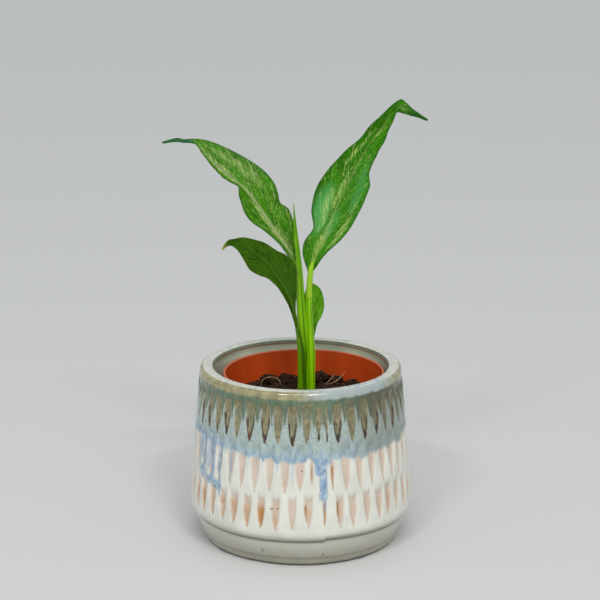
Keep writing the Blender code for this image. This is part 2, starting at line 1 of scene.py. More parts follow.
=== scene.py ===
"""Looks of a young variegated peace lily in a nursery pot inside a glazed stoneware planter.

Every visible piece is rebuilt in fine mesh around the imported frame. Sizes are in millimetres and are
turned into metres with MM. +Z is up and -Y is the front. Angles round the planter are in degrees,
0 at the front and growing towards +X.
"""

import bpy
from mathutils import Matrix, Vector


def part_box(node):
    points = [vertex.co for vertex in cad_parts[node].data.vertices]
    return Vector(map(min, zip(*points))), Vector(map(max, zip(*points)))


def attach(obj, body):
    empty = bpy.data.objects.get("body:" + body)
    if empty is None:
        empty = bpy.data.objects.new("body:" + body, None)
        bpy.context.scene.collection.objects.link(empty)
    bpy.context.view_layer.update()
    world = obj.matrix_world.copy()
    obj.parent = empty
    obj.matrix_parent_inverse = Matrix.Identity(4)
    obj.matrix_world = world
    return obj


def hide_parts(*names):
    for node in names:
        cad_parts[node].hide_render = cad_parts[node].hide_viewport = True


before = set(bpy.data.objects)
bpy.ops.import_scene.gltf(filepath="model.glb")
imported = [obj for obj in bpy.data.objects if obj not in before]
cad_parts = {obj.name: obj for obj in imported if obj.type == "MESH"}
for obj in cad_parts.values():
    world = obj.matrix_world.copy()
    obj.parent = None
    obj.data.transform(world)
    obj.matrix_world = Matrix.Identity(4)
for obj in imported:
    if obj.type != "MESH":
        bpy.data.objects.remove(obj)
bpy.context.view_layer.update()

import math

import bmesh
import bpy
import numpy as np
from mathutils import Vector, noise

MM = 0.001
FULL_TURN = 2.0 * math.pi
SEED = 4

# Camera: place, degrees that it looks down, and lens for a sensor 36 mm wide
CAMERA_PLACE = (-0.3, -700.0, 273.0)
CAMERA_PITCH = 14.62
CAMERA_LENS = 117.6
CAMERA_SENSOR = 36.0

# Light: a dim even sky, a soft broad sun, and two small windows that put highlights on the rim
SKY_STRENGTH = 0.5
SKY_COLOUR = (0.93, 0.96, 1.0, 1.0)
SUN_ENERGY = 1.0
SUN_SPREAD = 38.0
SUN_COLOUR = (1.0, 0.99, 0.97)
SUN_DIRECTION = (-0.1, 0.7, -1.0)
# Windows: name, place in metres and power in watts
WINDOWS = (("front_left", (-0.36, -0.85, 0.85), 2.4), ("front_right", (0.26, -0.85, 0.84), 2.2))
WINDOW_SIZE = (0.20, 0.05)
WINDOW_TARGET = (0.0, 0.0, 0.07)
FLOOR_HALF_WIDTH = 6.0

# Planter, as in the frame
PLANTER_BASE_Z = 0.9
PLANTER_FLOOR_Z = 8.9
PLANTER_HEIGHT = 66.3
RIM_RADIUS = 37.4
WALL_BASE_RADIUS = 41.8
PLANTER_WALL = 5.0
SHOULDER_TOP = 14.5
# How far the wall is rounded in where it meets the shoulder
SHOULDER_TUCK = 0.33
PLANTER_COLUMNS = 540
PAD_COUNT = 4

# Outline of the planter's foot, from its resting edge up to the straight wall: radius, height
FOOT_OUTLINE = (
    (36.2, 0.9), (36.5, 1.1), (36.85, 1.7), (37.15, 2.6), (37.35, 3.2), (37.7, 3.8), (38.3, 5.2),
    (38.9, 7.2), (39.35, 9.2), (39.5, 10.1), (39.5, 10.6), (39.8, 10.95), (40.4, 11.3), (40.9, 11.8),
    (41.25, 12.5), (41.42, 13.4), (41.48, 14.5),
)

# Flutes, spaced evenly in angle away from the mould seam. Each row has the heights of its top and
# bottom, its greatest depth and half-width, its first flute's angle from the seam, and how far the
# wall above it hangs down over its middle.
SEAM_ANGLE = 12.0
FLUTE_PITCH = 7.92
FLUTES_PER_HALF = 22
FLUTE_ROWS = {
    "upper": dict(top=62.5, bottom=46.1, depth=1.15, half_width=2.15, offset=8.6, tongue=0.0),
    "middle": dict(top=50.5, bottom=28.7, depth=1.1, half_width=2.1, offset=12.56, tongue=2.0),
    "lower": dict(top=32.1, bottom=15.1, depth=1.1, half_width=1.9, offset=8.6, tongue=2.5),
}
# Narrow flutes squeezed in beside the mould seam: row, angle, half-width
SEAM_FLUTES = (
    ("upper", 9.6, 1.1), ("upper", 13.9, 0.6), ("middle", 5.7, 0.8), ("middle", 16.6, 0.9),
    ("lower", 12.2, 0.8),
)

# Where the mould's halves met, the foot steps up by this much
SEAM_STEP_RISE = 0.6
# How square the rim is: 1 is a half circle, and less is flatter with a tighter edge
RIM_SQUARE_INSIDE = 0.5
RIM_SQUARE_OUTSIDE = 0.8
# How far the rim's inner edge stands in over the wall, as a share of the rim's half-width
RIM_INNER_REACH = 1.08

# Where the blue glaze ends above the white one: angle, height
BLUE_EDGE = (
    (-180, 41.9), (-150, 41.1), (-120, 42.5), (-95, 41.7), (-76, 43.2), (-52, 42.2), (-40, 41.6),
    (-27, 41.4), (-14, 40.7), (0, 40.4), (4.7, 42.1), (8, 40.3), (15, 40.1), (19, 41.5), (24, 40.7),
    (36, 41.1), (43, 41.2), (49, 42.0), (57, 41.3), (71, 41.9), (100, 42.5), (130, 41.3), (160, 42.3),
    (180, 41.9),
)
# Runs of blue glaze below its edge: angle, half-width, lowest height, strength
BLUE_RUNS = (
    (-67.5, 1.5, 31.0, 0.7), (-62.5, 1.9, 29.0, 0.8), (-57.4, 1.1, 30.5, 0.6), (-53.4, 1.6, 28.0, 0.8),
    (-48.6, 1.0, 31.0, 0.7), (-46.8, 0.6, 23.4, 1.0), (-40.2, 0.9, 30.1, 0.6), (-28.3, 0.35, 31.4, 0.4),
    (-20.4, 0.35, 31.9, 0.5), (-12.4, 0.35, 31.4, 0.45), (-4.4, 0.4, 29.9, 0.5), (9.2, 1.6, 35.5, 0.9),
    (11.0, 1.15, 26.0, 1.0), (12.5, 0.7, 21.8, 0.9), (20.6, 0.3, 32.9, 0.45), (28.5, 0.3, 33.9, 0.4),
    (36.4, 0.3, 33.4, 0.4), (52.3, 0.3, 33.9, 0.35),
)
# Where the runs gather into pools: angle, height, half-width, half-height
BLUE_POOLS = (
    (-63.0, 30.5, 4.2, 2.6), (-56.0, 29.0, 3.6, 2.0), (-49.5, 28.0, 3.2, 2.2), (-62.0, 36.0, 2.6, 3.6),
    (9.6, 37.6, 2.1, 1.7), (11.6, 28.6, 2.3, 2.4),
)
# Ochre where the glaze is thin: angle, half-width, top, bottom
OCHRE_STREAKS = (
    (16.2, 0.75, 39.1, 29.5), (2.1, 0.75, 25.2, 15.9), (18.9, 0.8, 25.9, 16.1), (5.6, 0.3, 40.1, 32.4),
    (11.9, 0.55, 25.9, 16.7), (55.8, 0.7, 25.1, 17.5), (-20.0, 0.5, 23.0, 16.3), (-112.0, 0.7, 38.9, 29.9),
    (148.0, 0.7, 24.9, 16.5), (-150.0, 0.6, 25.9, 16.5),
)
# Iron specks: angle, height, radius
SPECKS = (
    (0.6, 37.4, 0.42), (-53.8, 15.1, 0.36), (-14.9, 23.5, 0.38), (-12.0, 23.4, 0.34), (-21.1, 6.0, 0.34),
    (19.5, 53.9, 0.55), (12.0, 5.3, 0.3), (96.0, 20.2, 0.4), (-128.0, 32.3, 0.4), (171.0, 14.7, 0.35),
    (141.0, 35.9, 0.35),
)
# Height where the green band ends in the flutes, and how much lower it runs on the ridges between
GREEN_EDGE = 59.5
GREEN_SPIKE = 5.2
# Painted shade on the foot at each height: how far it darkens where the foot turns down away from the light
FOOT_PAINTED_SHADE = (
    (1.0, 1.0), (3.0, 0.9), (6.5, 0.7), (9.6, 0.45), (10.6, 0.85), (11.6, 0.8), (13.6, 0.15), (15.5, 0.0),
)
# How ochre the lower flutes are at each angle
OCHRE_SHARE = ((-90.0, 0.4), (-60.0, 1.3), (-15.0, 1.7), (-9.0, 0.3), (20.0, 0.1), (35.0, 0.45), (90.0, 0.8))

# Nursery pot, as in the frame
NURSERY_OFFSET = 1.1
NURSERY_BASE_Z = 9.2
NURSERY_TOP_Z = 63.1
NURSERY_HEIGHT = NURSERY_TOP_Z - NURSERY_BASE_Z
NURSERY_LIP_RADIUS = 30.0
NURSERY_BASE_RADIUS = 22.0
NURSERY_WALL = 0.8
NURSERY_LIP_WIDTH = 1.2
NURSERY_LIP_HEIGHT = 4.5
NURSERY_COLUMNS = 240

# Compost, as in the frame
CROWN_Z = 56.3
COMPOST_RADIUS = 27.8
MOUND_DROP = 4.1
MOUND_SHAPE = 1.3
COMPOST_RINGS = 84
COMPOST_COLUMNS = 260
CLUMP_COUNT = 10
CRUMB_COUNT = 620
ROOT_BIT_COUNT = 46
FIBRE_RADIUS = 0.14
ROOT_BIT_RADIUS = 0.09

# Feet of the stalks, from the nursery pot's axis: x, y
LOWER_FOOT = (-0.5, -2.2)
RIGHT_FOOT = (2.58, -1.02)
SPEAR_FOOT = (1.38, 1.34)
LEFT_FOOT = (-0.70, 2.64)
BACK_FOOT = (2.95, 2.81)
PLANTING_DEPTH = 7.0
STALK_SIDES = 40
KEEL_SIDES = 16
BLADE_COLUMNS = 56
BLADE_STEPS = 14
BLADE_THICKNESS = 0.34
VEIN_PITCH = 3.2

# Loose fibres: x, y as shares of the compost's radius, and height above the compost there
FIBRES = (
    ((-0.58, 0.275, 0.7), (-0.575, 0.28, 2.4), (-0.52, 0.28, 3.9), (-0.42, 0.275, 4.0),
     (-0.34, 0.27, 2.7), (-0.315, 0.23, 1.2)),
    ((0.30, 0.26, 0.8), (0.35, 0.275, 2.2), (0.40, 0.29, 4.0), (0.42, 0.29, 5.4)),
    ((0.31, 0.21, 0.8), (0.41, 0.225, 2.0), (0.495, 0.255, 3.9), (0.57, 0.27, 6.6)),
)

# Stalk routes: x, y from the stalk's own foot, height above the compost, share of the stalk's radius
LOWER_STALK = (
    (0.0, 0.0, 0.0, 1.0), (-0.1, 0.0, 7.0, 0.95), (-0.3, 0.0, 12.4, 0.85),
    (-0.8, 0.0, 17.4, 0.7), (-1.5, -0.2, 21.7, 0.5), (-2.05, -0.4, 24.4, 0.4),
)
RIGHT_STALK = (
    (0.0, 0.0, 0.0, 1.08), (0.0, 0.1, 7.4, 1.05), (0.0, 0.2, 15.1, 0.98), (-0.3, 0.4, 22.8, 0.88),
    (-0.6, 0.5, 29.6, 0.8), (-0.7, 0.5, 35.7, 0.76), (-0.5, 0.5, 40.3, 0.72), (0.0, 0.5, 45.8, 0.66),
    (0.8, 0.9, 48.6, 0.35),
)
SPEAR = (
    (0.0, 0.0, 0.0, 1.2), (-0.6, -0.5, 8.8, 1.4), (-1.2, -1.0, 16.7, 1.65), (-1.8, -1.3, 24.5, 1.7),
    (-2.3, -1.6, 32.3, 1.5), (-2.6, -1.8, 38.8, 1.25), (-2.9, -1.9, 44.9, 1.1),
    (-3.5, -1.9, 51.3, 0.95), (-4.1, -1.9, 56.9, 0.8), (-4.7, -1.9, 63.7, 0.5), (-5.1, -1.9, 70.4, 0.12),
)
LEFT_STALK = (
    (0.0, 0.0, 0.0, 1.0), (0.1, 0.0, 8.6, 1.0), (0.0, 0.0, 16.4, 1.0), (-0.4, -0.1, 24.0, 0.95),
    (-0.8, -0.2, 31.7, 0.9), (-1.2, -0.2, 38.1, 0.8), (-1.75, -0.1, 44.4, 0.55),
)
BACK_STALK = (
    (0.0, 0.0, 0.0, 1.0), (0.4, 0.1, 6.3, 1.0), (0.6, 0.3, 12.1, 0.85), (0.5, 0.5, 18.9, 0.5),
)

# Leaf blades: at each station from base to tip the midrib, the left edge and the right edge, each as
# x, y from the stalk's foot and height above the compost
RIGHT_BLADE = (
    ((-0.1, 0.4, 44.6), (-0.9, 0.2, 44.4), (0.8, 0.2, 45.2)),
    ((2.0, 1.5, 51.8), (-3.0, 0.0, 52.1), (5.9, -0.5, 52.6)),
    ((4.2, 3.0, 56.7), (-2.2, 1.5, 56.4), (11.3, 0.5, 57.3)),
    ((7.2, 5.0, 62.7), (0.9, 4.0, 60.9), (15.7, 2.0, 63.3)),
    ((9.9, 7.0, 69.0), (0.2, 5.5, 67.2), (19.0, 3.5, 69.7)),
    ((12.9, 9.0, 75.0), (2.2, 6.5, 75.5), (21.5, 6.0, 75.6)),
    ((15.8, 10.5, 80.7), (5.9, 8.0, 81.1), (21.6, 10.0, 80.4)),
    ((18.8, 12.5, 85.9), (11.7, 10.0, 87.3), (24.4, 11.0, 86.9)),
    ((22.1, 14.5, 90.8), (17.6, 12.0, 92.1), (27.0, 12.5, 91.5)),
    ((25.5, 16.5, 95.3), (22.2, 14.0, 97.2), (28.9, 14.5, 95.8)),
    ((29.0, 18.5, 99.6), (27.1, 16.5, 101.4), (30.8, 16.5, 99.5)),
    ((32.2, 20.2, 103.2), (32.9, 20.0, 105.6), (31.9, 19.0, 101.0)),
    ((34.5, 21.0, 102.9), (35.1, 22.5, 104.1), (34.0, 22.0, 100.2)),
    ((37.1, 22.0, 101.0), (37.6, 24.0, 101.9), (37.1, 23.5, 99.3)),
    ((40.6, 24.0, 98.6), (40.9, 25.0, 99.1), (40.7, 25.0, 97.9)),
    ((43.6, 26.0, 97.0), (43.7, 26.0, 97.4), (43.6, 26.0, 96.7)),
)
LEFT_BLADE = (
    ((-1.8, -0.1, 45.0), (-2.5, -0.4, 45.1), (-1.1, 0.2, 44.9)),
    ((-3.4, 0.9, 49.2), (-4.9, -1.1, 50.4), (-1.4, 3.9, 50.0)),
    ((-5.8, 1.9, 53.3), (-8.5, -1.1, 55.0), (-1.9, 5.9, 55.6)),
    ((-8.6, 2.9, 57.1), (-12.9, -0.6, 59.4), (-2.9, 7.4, 60.6)),
    ((-11.7, 3.9, 61.6), (-17.7, -0.1, 62.4), (-4.7, 8.4, 65.7)),
    ((-14.7, 4.9, 65.9), (-21.2, 0.4, 67.0), (-7.9, 9.4, 68.1)),
    ((-17.6, 5.9, 70.0), (-22.7, 1.4, 71.7), (-9.0, 10.4, 71.9)),
    ((-20.6, 6.9, 73.7), (-23.3, 3.4, 75.7), (-10.5, 11.4, 75.7)),
    ((-23.7, 7.9, 76.2), (-25.1, 4.9, 76.6), (-14.2, 12.4, 79.8)),
    ((-27.4, 9.4, 79.1), (-29.6, 7.4, 78.5), (-20.1, 13.4, 83.9)),
    ((-31.2, 10.9, 81.8), (-33.0, 9.9, 82.0), (-26.4, 14.4, 87.1)),
    ((-34.7, 12.4, 84.9), (-36.1, 11.9, 85.3), (-32.7, 15.4, 89.8)),
    ((-37.7, 13.9, 88.6), (-38.3, 13.5, 88.0), (-37.0, 15.9, 90.7)),
    ((-39.9, 14.9, 90.2), (-39.9, 14.2, 89.5), (-40.1, 16.4, 91.0)),
    ((-43.9, 15.9, 90.2), (-43.8, 14.9, 89.9), (-43.9, 16.9, 90.6)),
    ((-46.7, 16.9, 90.4), (-46.7, 15.9, 90.0), (-46.7, 17.5, 91.0)),
    ((-51.9, 17.9, 89.3), (-51.9, 17.7, 89.0), (-51.9, 18.1, 89.6)),
)
LOWER_BLADE = (
    ((-2.15, -0.45, 24.9), (-2.7, -0.7, 25.0), (-1.6, -0.3, 24.9)),
    ((-3.3, -1.6, 30.1), (-4.1, -2.0, 30.2), (-2.5, -1.0, 29.6)),
    ((-4.8, -3.0, 35.4), (-6.1, -4.0, 35.7), (-2.4, -1.2, 35.7)),
    ((-6.9, -4.8, 40.4), (-8.9, -6.4, 40.8), (-2.2, -1.8, 42.3)),
    ((-9.5, -6.8, 45.4), (-12.3, -8.6, 44.8), (-2.5, -2.8, 47.8)),
    ((-12.1, -8.6, 49.6), (-15.9, -10.0, 46.6), (-5.7, -4.8, 52.6)),
    ((-15.2, -10.2, 53.2), (-19.0, -11.2, 48.8), (-9.4, -6.8, 55.0)),
    ((-18.2, -11.8, 56.1), (-20.9, -12.6, 52.4), (-13.2, -9.3, 58.2)),
    ((-21.0, -13.2, 58.1), (-22.8, -14.0, 56.1), (-16.7, -11.6, 60.0)),
    ((-23.6, -14.4, 59.3), (-24.7, -15.0, 58.2), (-20.8, -13.8, 61.3)),
    ((-25.7, -15.4, 59.7), (-26.1, -16.0, 58.9), (-24.0, -15.3, 61.2)),
    ((-27.3, -16.4, 59.4), (-27.1, -16.8, 58.7), (-26.6, -16.4, 60.9)),
    ((-28.6, -17.4, 57.8), (-28.5, -17.5, 57.4), (-28.8, -17.3, 58.2)),
)
BACK_BLADE = (
    ((0.5, 0.6, 19.5), (0.0, 0.5, 19.5), (1.0, 0.5, 19.5)),
    ((0.6, 1.5, 23.0), (-1.1, 0.9, 23.5), (1.9, 1.1, 23.5)),
    ((0.8, 2.5, 26.6), (-2.0, 1.5, 27.6), (3.6, 1.7, 26.8)),
    ((1.0, 3.7, 30.5), (-2.6, 2.3, 31.6), (4.6, 2.7, 30.4)),
    ((1.0, 4.9, 34.0), (-2.4, 3.5, 35.2), (4.2, 4.1, 33.9)),
    ((0.6, 6.1, 36.4), (-1.5, 4.9, 37.5), (2.8, 5.5, 36.6)),
    ((0.0, 7.3, 38.1), (-0.4, 7.2, 38.2), (0.4, 7.2, 38.0)),
)

# Sockets of a Mix node that mixes colours
MIX_FIRST_COLOUR, MIX_SECOND_COLOUR, MIX_COLOUR_OUT = 6, 7, 2


def srgb(red, green, blue):
    """Linear colour of an 0 to 255 display colour."""
    channels = [value / 255.0 for value in (red, green, blue)]
    linear = [c / 12.92 if c <= 0.04045 else ((c + 0.055) / 1.055) ** 2.4 for c in channels]
    return (*linear, 1.0)


def smoothstep(low, high, value):
    """0 at low and 1 at high with a soft start and end; low may be the larger."""
    share = np.clip((value - low) / (high - low), 0.0, 1.0)
    return share * share * (3.0 - 2.0 * share)


def between(value, low, full_from, full_to, high):
    """0 below low, 1 from full_from to full_to, and 0 above high."""
    return smoothstep(low, full_from, value) * smoothstep(high, full_to, value)


def smooth_path(points, steps):
    """Catmull-Rom curve through rows of numbers."""
    points = np.asarray(points, dtype=float)
    rows = np.vstack([2.0 * points[0] - points[1], points, 2.0 * points[-1] - points[-2]])
    t = np.arange(steps) / steps
    weights = np.stack([
        -0.5 * t + t * t - 0.5 * t ** 3,
        1.0 - 2.5 * t * t + 1.5 * t ** 3,
        0.5 * t + 2.0 * t * t - 1.5 * t ** 3,
        -0.5 * t * t + 0.5 * t ** 3,
    ], axis=1)
    spans = [weights @ rows[i:i + 4] for i in range(len(points) - 1)]
    return np.vstack([*spans, points[-1:]])


def unit(vectors):
    """Vectors of the same directions, each of length 1."""
    return vectors / np.maximum(np.linalg.norm(vectors, axis=-1, keepdims=True), 1e-9)


def grid_faces(rows, columns, closed):
    """Quads of a grid of points, closed round its columns or open."""
    across = columns if closed else columns - 1
    i, j = np.meshgrid(np.arange(rows - 1), np.arange(across), indexing="ij")
    right = (j + 1) % columns
    corners = [i * columns + j, i * columns + right, (i + 1) * columns + right, (i + 1) * columns + j]
    return np.stack(corners, axis=-1).reshape(-1, 4).tolist()


def tube_faces(rows, columns):
    """Quads of a closed tube of points, with a cap over each end."""
    last = (rows - 1) * columns
    return [*grid_faces(rows, columns, True), list(range(columns)), list(range(last, last + columns))]


def turns_round(count):
    """Angles in radians, evenly spaced round a full turn."""
    return np.linspace(0.0, FULL_TURN, count, endpoint=False)


def path_length(path):
    """How far along a path each of its points is."""
    return np.concatenate([[0.0], np.cumsum(np.linalg.norm(np.diff(path, axis=0), axis=1))])


def node_box(node):
    """A CAD node's lowest and highest corners, in millimetres."""
    return [Vector(corner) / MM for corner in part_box(node)]


def make_mesh(name, points, faces, attributes):
    """A smooth mesh of points in millimetres that carries named values at its points."""
    mesh = bpy.data.meshes.new(name)
    mesh.from_pydata((np.asarray(points) * MM).tolist(), [], faces)
    for key, values in attributes.items():
        values = np.asarray(values, dtype=np.float32)
        vector = values.ndim == 2
        stored = mesh.attributes.new(key, "FLOAT_VECTOR" if vector else "FLOAT", "POINT")
        stored.data.foreach_set("vector" if vector else "value", values.ravel())
    mesh.shade_smooth()
    return mesh


def face_outwards(mesh):
    """Turn a closed mesh's faces outwards."""
    edit = bmesh.new()
    edit.from_mesh(mesh)
    bmesh.ops.recalc_face_normals(edit, faces=edit.faces)
    edit.to_mesh(mesh)
    edit.free()


def add_piece(name, data, material, slot, *nodes):
    """Put a piece in the scene, on the body, with its finish and the nodes that it stands for."""
    piece = bpy.data.objects.new(name, data)
    data.materials.clear()
    data.materials.append(material)
    bpy.context.scene.collection.objects.link(piece)
    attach(piece, "root")
    if nodes:
        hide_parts(*nodes)
    return piece


class Paint:
    """A Principled material whose colour is built up in layers."""

    def __init__(self, name, colour, **plain):
        self.material = bpy.data.materials.new(name)
        self.material.use_nodes = True
        self.tree = self.material.node_tree
        self.shader = self.tree.nodes["Principled BSDF"]
        self.colour = colour
        for socket, value in plain.items():
            self.shader.inputs[socket.replace("_", " ")].default_value = value

    def node(self, kind, **settings):
        made = self.tree.nodes.new(kind)
        for key, value in settings.items():
            setattr(made, key, value)
        return made

    def join(self, source, socket):
        """Give a socket a value, a colour or another node's output."""
        if isinstance(source, bpy.types.NodeSocket):
            self.tree.links.new(source, socket)
        else:
            socket.default_value = source

    def attribute(self, name, output="Fac"):
        return self.node("ShaderNodeAttribute", attribute_name=name).outputs[output]

    def place(self, scale, source=None):
        """Object coordinates, or another vector, scaled along each axis."""
        if source is None:
            source = self.node("ShaderNodeTexCoord").outputs["Object"]
        mapping = self.node("ShaderNodeMapping")
        self.join(source, mapping.inputs["Vector"])
        mapping.inputs["Scale"].default_value = scale
        return mapping.outputs["Vector"]

    def noise(self, scale, detail=3.0, place=None, distortion=0.0):
        texture = self.node("ShaderNodeTexNoise")
        texture.inputs["Scale"].default_value = scale
        texture.inputs["Detail"].default_value = detail
        texture.inputs["Distortion"].default_value = distortion
        self.join(place or self.place((1.0, 1.0, 1.0)), texture.inputs["Vector"])
        return texture.outputs["Fac"]

    def cells(self, scale, place=None, feature="F1"):
        texture = self.node("ShaderNodeTexVoronoi", feature=feature)
        texture.inputs["Scale"].default_value = scale
        self.join(place or self.place((1.0, 1.0, 1.0)), texture.inputs["Vector"])
        return texture.outputs["Distance"]

    def maths(self, operation, first, second=0.0, third=0.0):
        made = self.node("ShaderNodeMath", operation=operation)
        for value, socket in zip((first, second, third), made.inputs):
            self.join(value, socket)
        return made.outputs["Value"]

    def times(self, first, second):
        return self.maths("MULTIPLY", first, second)

    def spread(self, value, low, high, start=0.0, end=1.0):
        """value from low..high mapped smoothly to start..end."""
        made = self.node("ShaderNodeMapRange", interpolation_type="SMOOTHSTEP")
        for source, key in ((value, "Value"), (low, "From Min"), (high, "From Max"),
                            (start, "To Min"), (end, "To Max")):
            self.join(source, made.inputs[key])
        return made.outputs["Result"]

    def ragged(self, mask, noise_value, amount, softness=0.2):
        """A mask whose edge wanders with a noise."""
        moved = self.maths("MULTIPLY_ADD", self.maths("SUBTRACT", noise_value, 0.5), amount, mask)
        return self.spread(moved, 0.5 - softness, 0.5 + softness)

    def blend(self, share, first, second, blend_type="MIX"):
        made = self.node("ShaderNodeMix", data_type="RGBA", blend_type=blend_type)
        self.join(share, made.inputs["Factor"])
        self.join(first, made.inputs[MIX_FIRST_COLOUR])
        self.join(second, made.inputs[MIX_SECOND_COLOUR])
        return made.outputs[MIX_COLOUR_OUT]

    def layer(self, share, colour, blend_type="MIX"):
        """Lay a colour over what is there."""
        self.colour = self.blend(share, self.colour, colour, blend_type)

    def mottled(self, value, low, high, first, second, most=1.0):
        """Two colours: the second comes in as value goes from low to high, as far as most."""
        return self.blend(self.spread(value, low, high, 0.0, most), first, second)

    def tint(self, value, low, high, colour, most=1.0):
        """Lay a colour over what is there as value goes from low to high, as far as most."""
        self.layer(self.spread(value, low, high, 0.0, most), colour)

    def bump(self, height, distance, strength=1.0):
        made = self.node("ShaderNodeBump")
        made.inputs["Strength"].default_value = strength
        made.inputs["Distance"].default_value = distance * MM
        self.join(height, made.inputs["Height"])
        self.tree.links.new(made.outputs["Normal"], self.shader.inputs["Normal"])

    def finish(self):
        self.join(self.colour, self.shader.inputs["Base Color"])
        return self.material


# ---------------------------------------------------------------- camera, light and floor

def set_camera():
    data = bpy.data.cameras.new("camera")
    data.lens = CAMERA_LENS
    data.sensor_width = CAMERA_SENSOR
    data.clip_start = 0.01
    camera = bpy.data.objects.new("camera", data)
    camera.location = Vector(CAMERA_PLACE) * MM
    camera.rotation_euler = (math.radians(90.0 - CAMERA_PITCH), 0.0, 0.0)
    bpy.context.scene.collection.objects.link(camera)
    bpy.context.scene.camera = camera


def add_light(name, data, direction):
    """Put a light in the scene, turned to shine along a direction."""
    light = bpy.data.objects.new(name, data)
    light.rotation_euler = Vector(direction).to_track_quat("-Z", "Y").to_euler()
    bpy.context.scene.collection.objects.link(light)
    return light


def set_light():
    bpy.context.scene.view_settings.view_transform = "Standard"
    world = bpy.data.worlds.new("studio")
    world.use_nodes = True
    background = world.node_tree.nodes["Background"]
    background.inputs["Color"].default_value = SKY_COLOUR
    background.inputs["Strength"].default_value = SKY_STRENGTH
    bpy.context.scene.world = world
    sun = bpy.data.lights.new("sky_window", "SUN")
    sun.angle = math.radians(SUN_SPREAD)
    sun.energy = SUN_ENERGY
    sun.color = SUN_COLOUR
    add_light("sky_window", sun, SUN_DIRECTION)
    for name, place, power in WINDOWS:
        window = bpy.data.lights.new(name, "AREA")
        window.shape = "RECTANGLE"
        window.size, window.size_y = WINDOW_SIZE
        window.energy = power
        add_light(name, window, Vector(WINDOW_TARGET) - Vector(place)).location = place


def build_floor():
    mesh = bpy.data.meshes.new("floor")
    half = FLOOR_HALF_WIDTH
    mesh.from_pydata([(-half, -half, 0.0), (half, -half, 0.0), (half, half, 0.0), (-half, half, 0.0)],
                     [], [(0, 1, 2, 3)])
    floor = bpy.data.objects.new("floor", mesh)
    mesh.materials.append(Paint("pale_floor", srgb(214, 215, 213), Roughness=0.7).finish())
    bpy.context.scene.collection.objects.link(floor)


# ---------------------------------------------------------------- planter

def wall_radius(height):
    """The planter's outer wall, straight but for its rounding in towards the shoulder."""
    rise = (height - SHOULDER_TOP) / (PLANTER_HEIGHT - SHOULDER_TOP)
    tuck = SHOULDER_TUCK * smoothstep(SHOULDER_TOP + 7.0, SHOULDER_TOP - 1.0, height)
    return WALL_BASE_RADIUS + (RIM_RADIUS - WALL_BASE_RADIUS) * rise - tuck


def angle_apart(first, second):
    return (first - second + 180.0) % 360.0 - 180.0


def flute_list():
    """Every flute: row name, angle, half-width, top, bottom, depth and its own number."""
    luck = np.random.default_rng(SEED)
    flutes = []
    for name, row in FLUTE_ROWS.items():
        for side in (-1.0, 1.0):
            count = FLUTES_PER_HALF - (1 if name == "middle" and side > 0 else 0)
            for index in range(count):
                angle = SEAM_ANGLE + side * (row["offset"] + FLUTE_PITCH * index)
                flutes.append([name, angle + luck.normal(0.0, 0.35),
                               row["half_width"] * luck.uniform(0.86, 1.08),
                               row["top"] + luck.normal(0.0, 0.35),
                               row["bottom"] + luck.normal(0.0, 0.45),
                               row["depth"] * luck.uniform(0.85, 1.12)])
    for name, angle, half_width in SEAM_FLUTES:
        row = FLUTE_ROWS[name]
        flutes.append([name, angle, half_width, row["top"] - 0.4, row["bottom"] + 0.8,
                       row["depth"] * 0.55])
    return flutes


def flute_fields(angles, heights, flutes):
    """Depth of the flutes in millimetres, and per row the share inside, the place down it and the
    distance from its middle line as a share of its half-width."""
    depth = np.zeros_like(angles)
    inside = {name: np.zeros_like(angles) for name in FLUTE_ROWS}
    down = {name: np.zeros_like(angles) for name in FLUTE_ROWS}
    aside = {name: np.ones_like(angles) for name in FLUTE_ROWS}
    own = {name: np.zeros_like(angles) for name in FLUTE_ROWS}
    for number, (name, angle, half_width, top, bottom, deepest) in enumerate(flutes):
        tongue = FLUTE_ROWS[name]["tongue"]
        reach = np.abs(np.radians(angle_apart(angles, angle)) * wall_radius(heights))
        share = (top - heights) / (top - bottom)
        rounded = np.clip(share / 0.2, 0.0, 1.0)
        opening = np.sqrt(rounded * (2.0 - rounded)) if tongue == 0.0 else smoothstep(0.0, 0.1, share)
        closing = 1.0 - np.clip((share - 0.35) / 0.65, 0.0, 1.0) ** (1.7 if tongue == 0.0 else 2.3)
        width = np.maximum(half_width * opening * closing, 1e-6)
        u = reach / width
        near = (share > 0.0) & (share < 1.0) & (u < 1.25)
        hollow = smoothstep(1.15, 0.4, u) * near
        lip = top - tongue * np.clip(1.0 - (reach / half_width) ** 2, 0.0, 1.0)
        fall = smoothstep(-0.6, 4.5, lip - heights) * (1.0 - 0.6 * np.clip(share, 0.0, 1.0) ** 2.0)
        soft_top = 0.9 if tongue == 0.0 else 5.0
        hollow = hollow * smoothstep(-0.3, soft_top, lip - heights)
        depth = np.maximum(depth, deepest * hollow * fall)
        better = hollow > inside[name]
        inside[name] = np.where(better, hollow, inside[name])
        down[name] = np.where(better, share, down[name])
        aside[name] = np.where(better, u, aside[name])
        own[name] = np.where(better, (number * 0.618) % 1.0, own[name])
    return depth, inside, down, aside, own


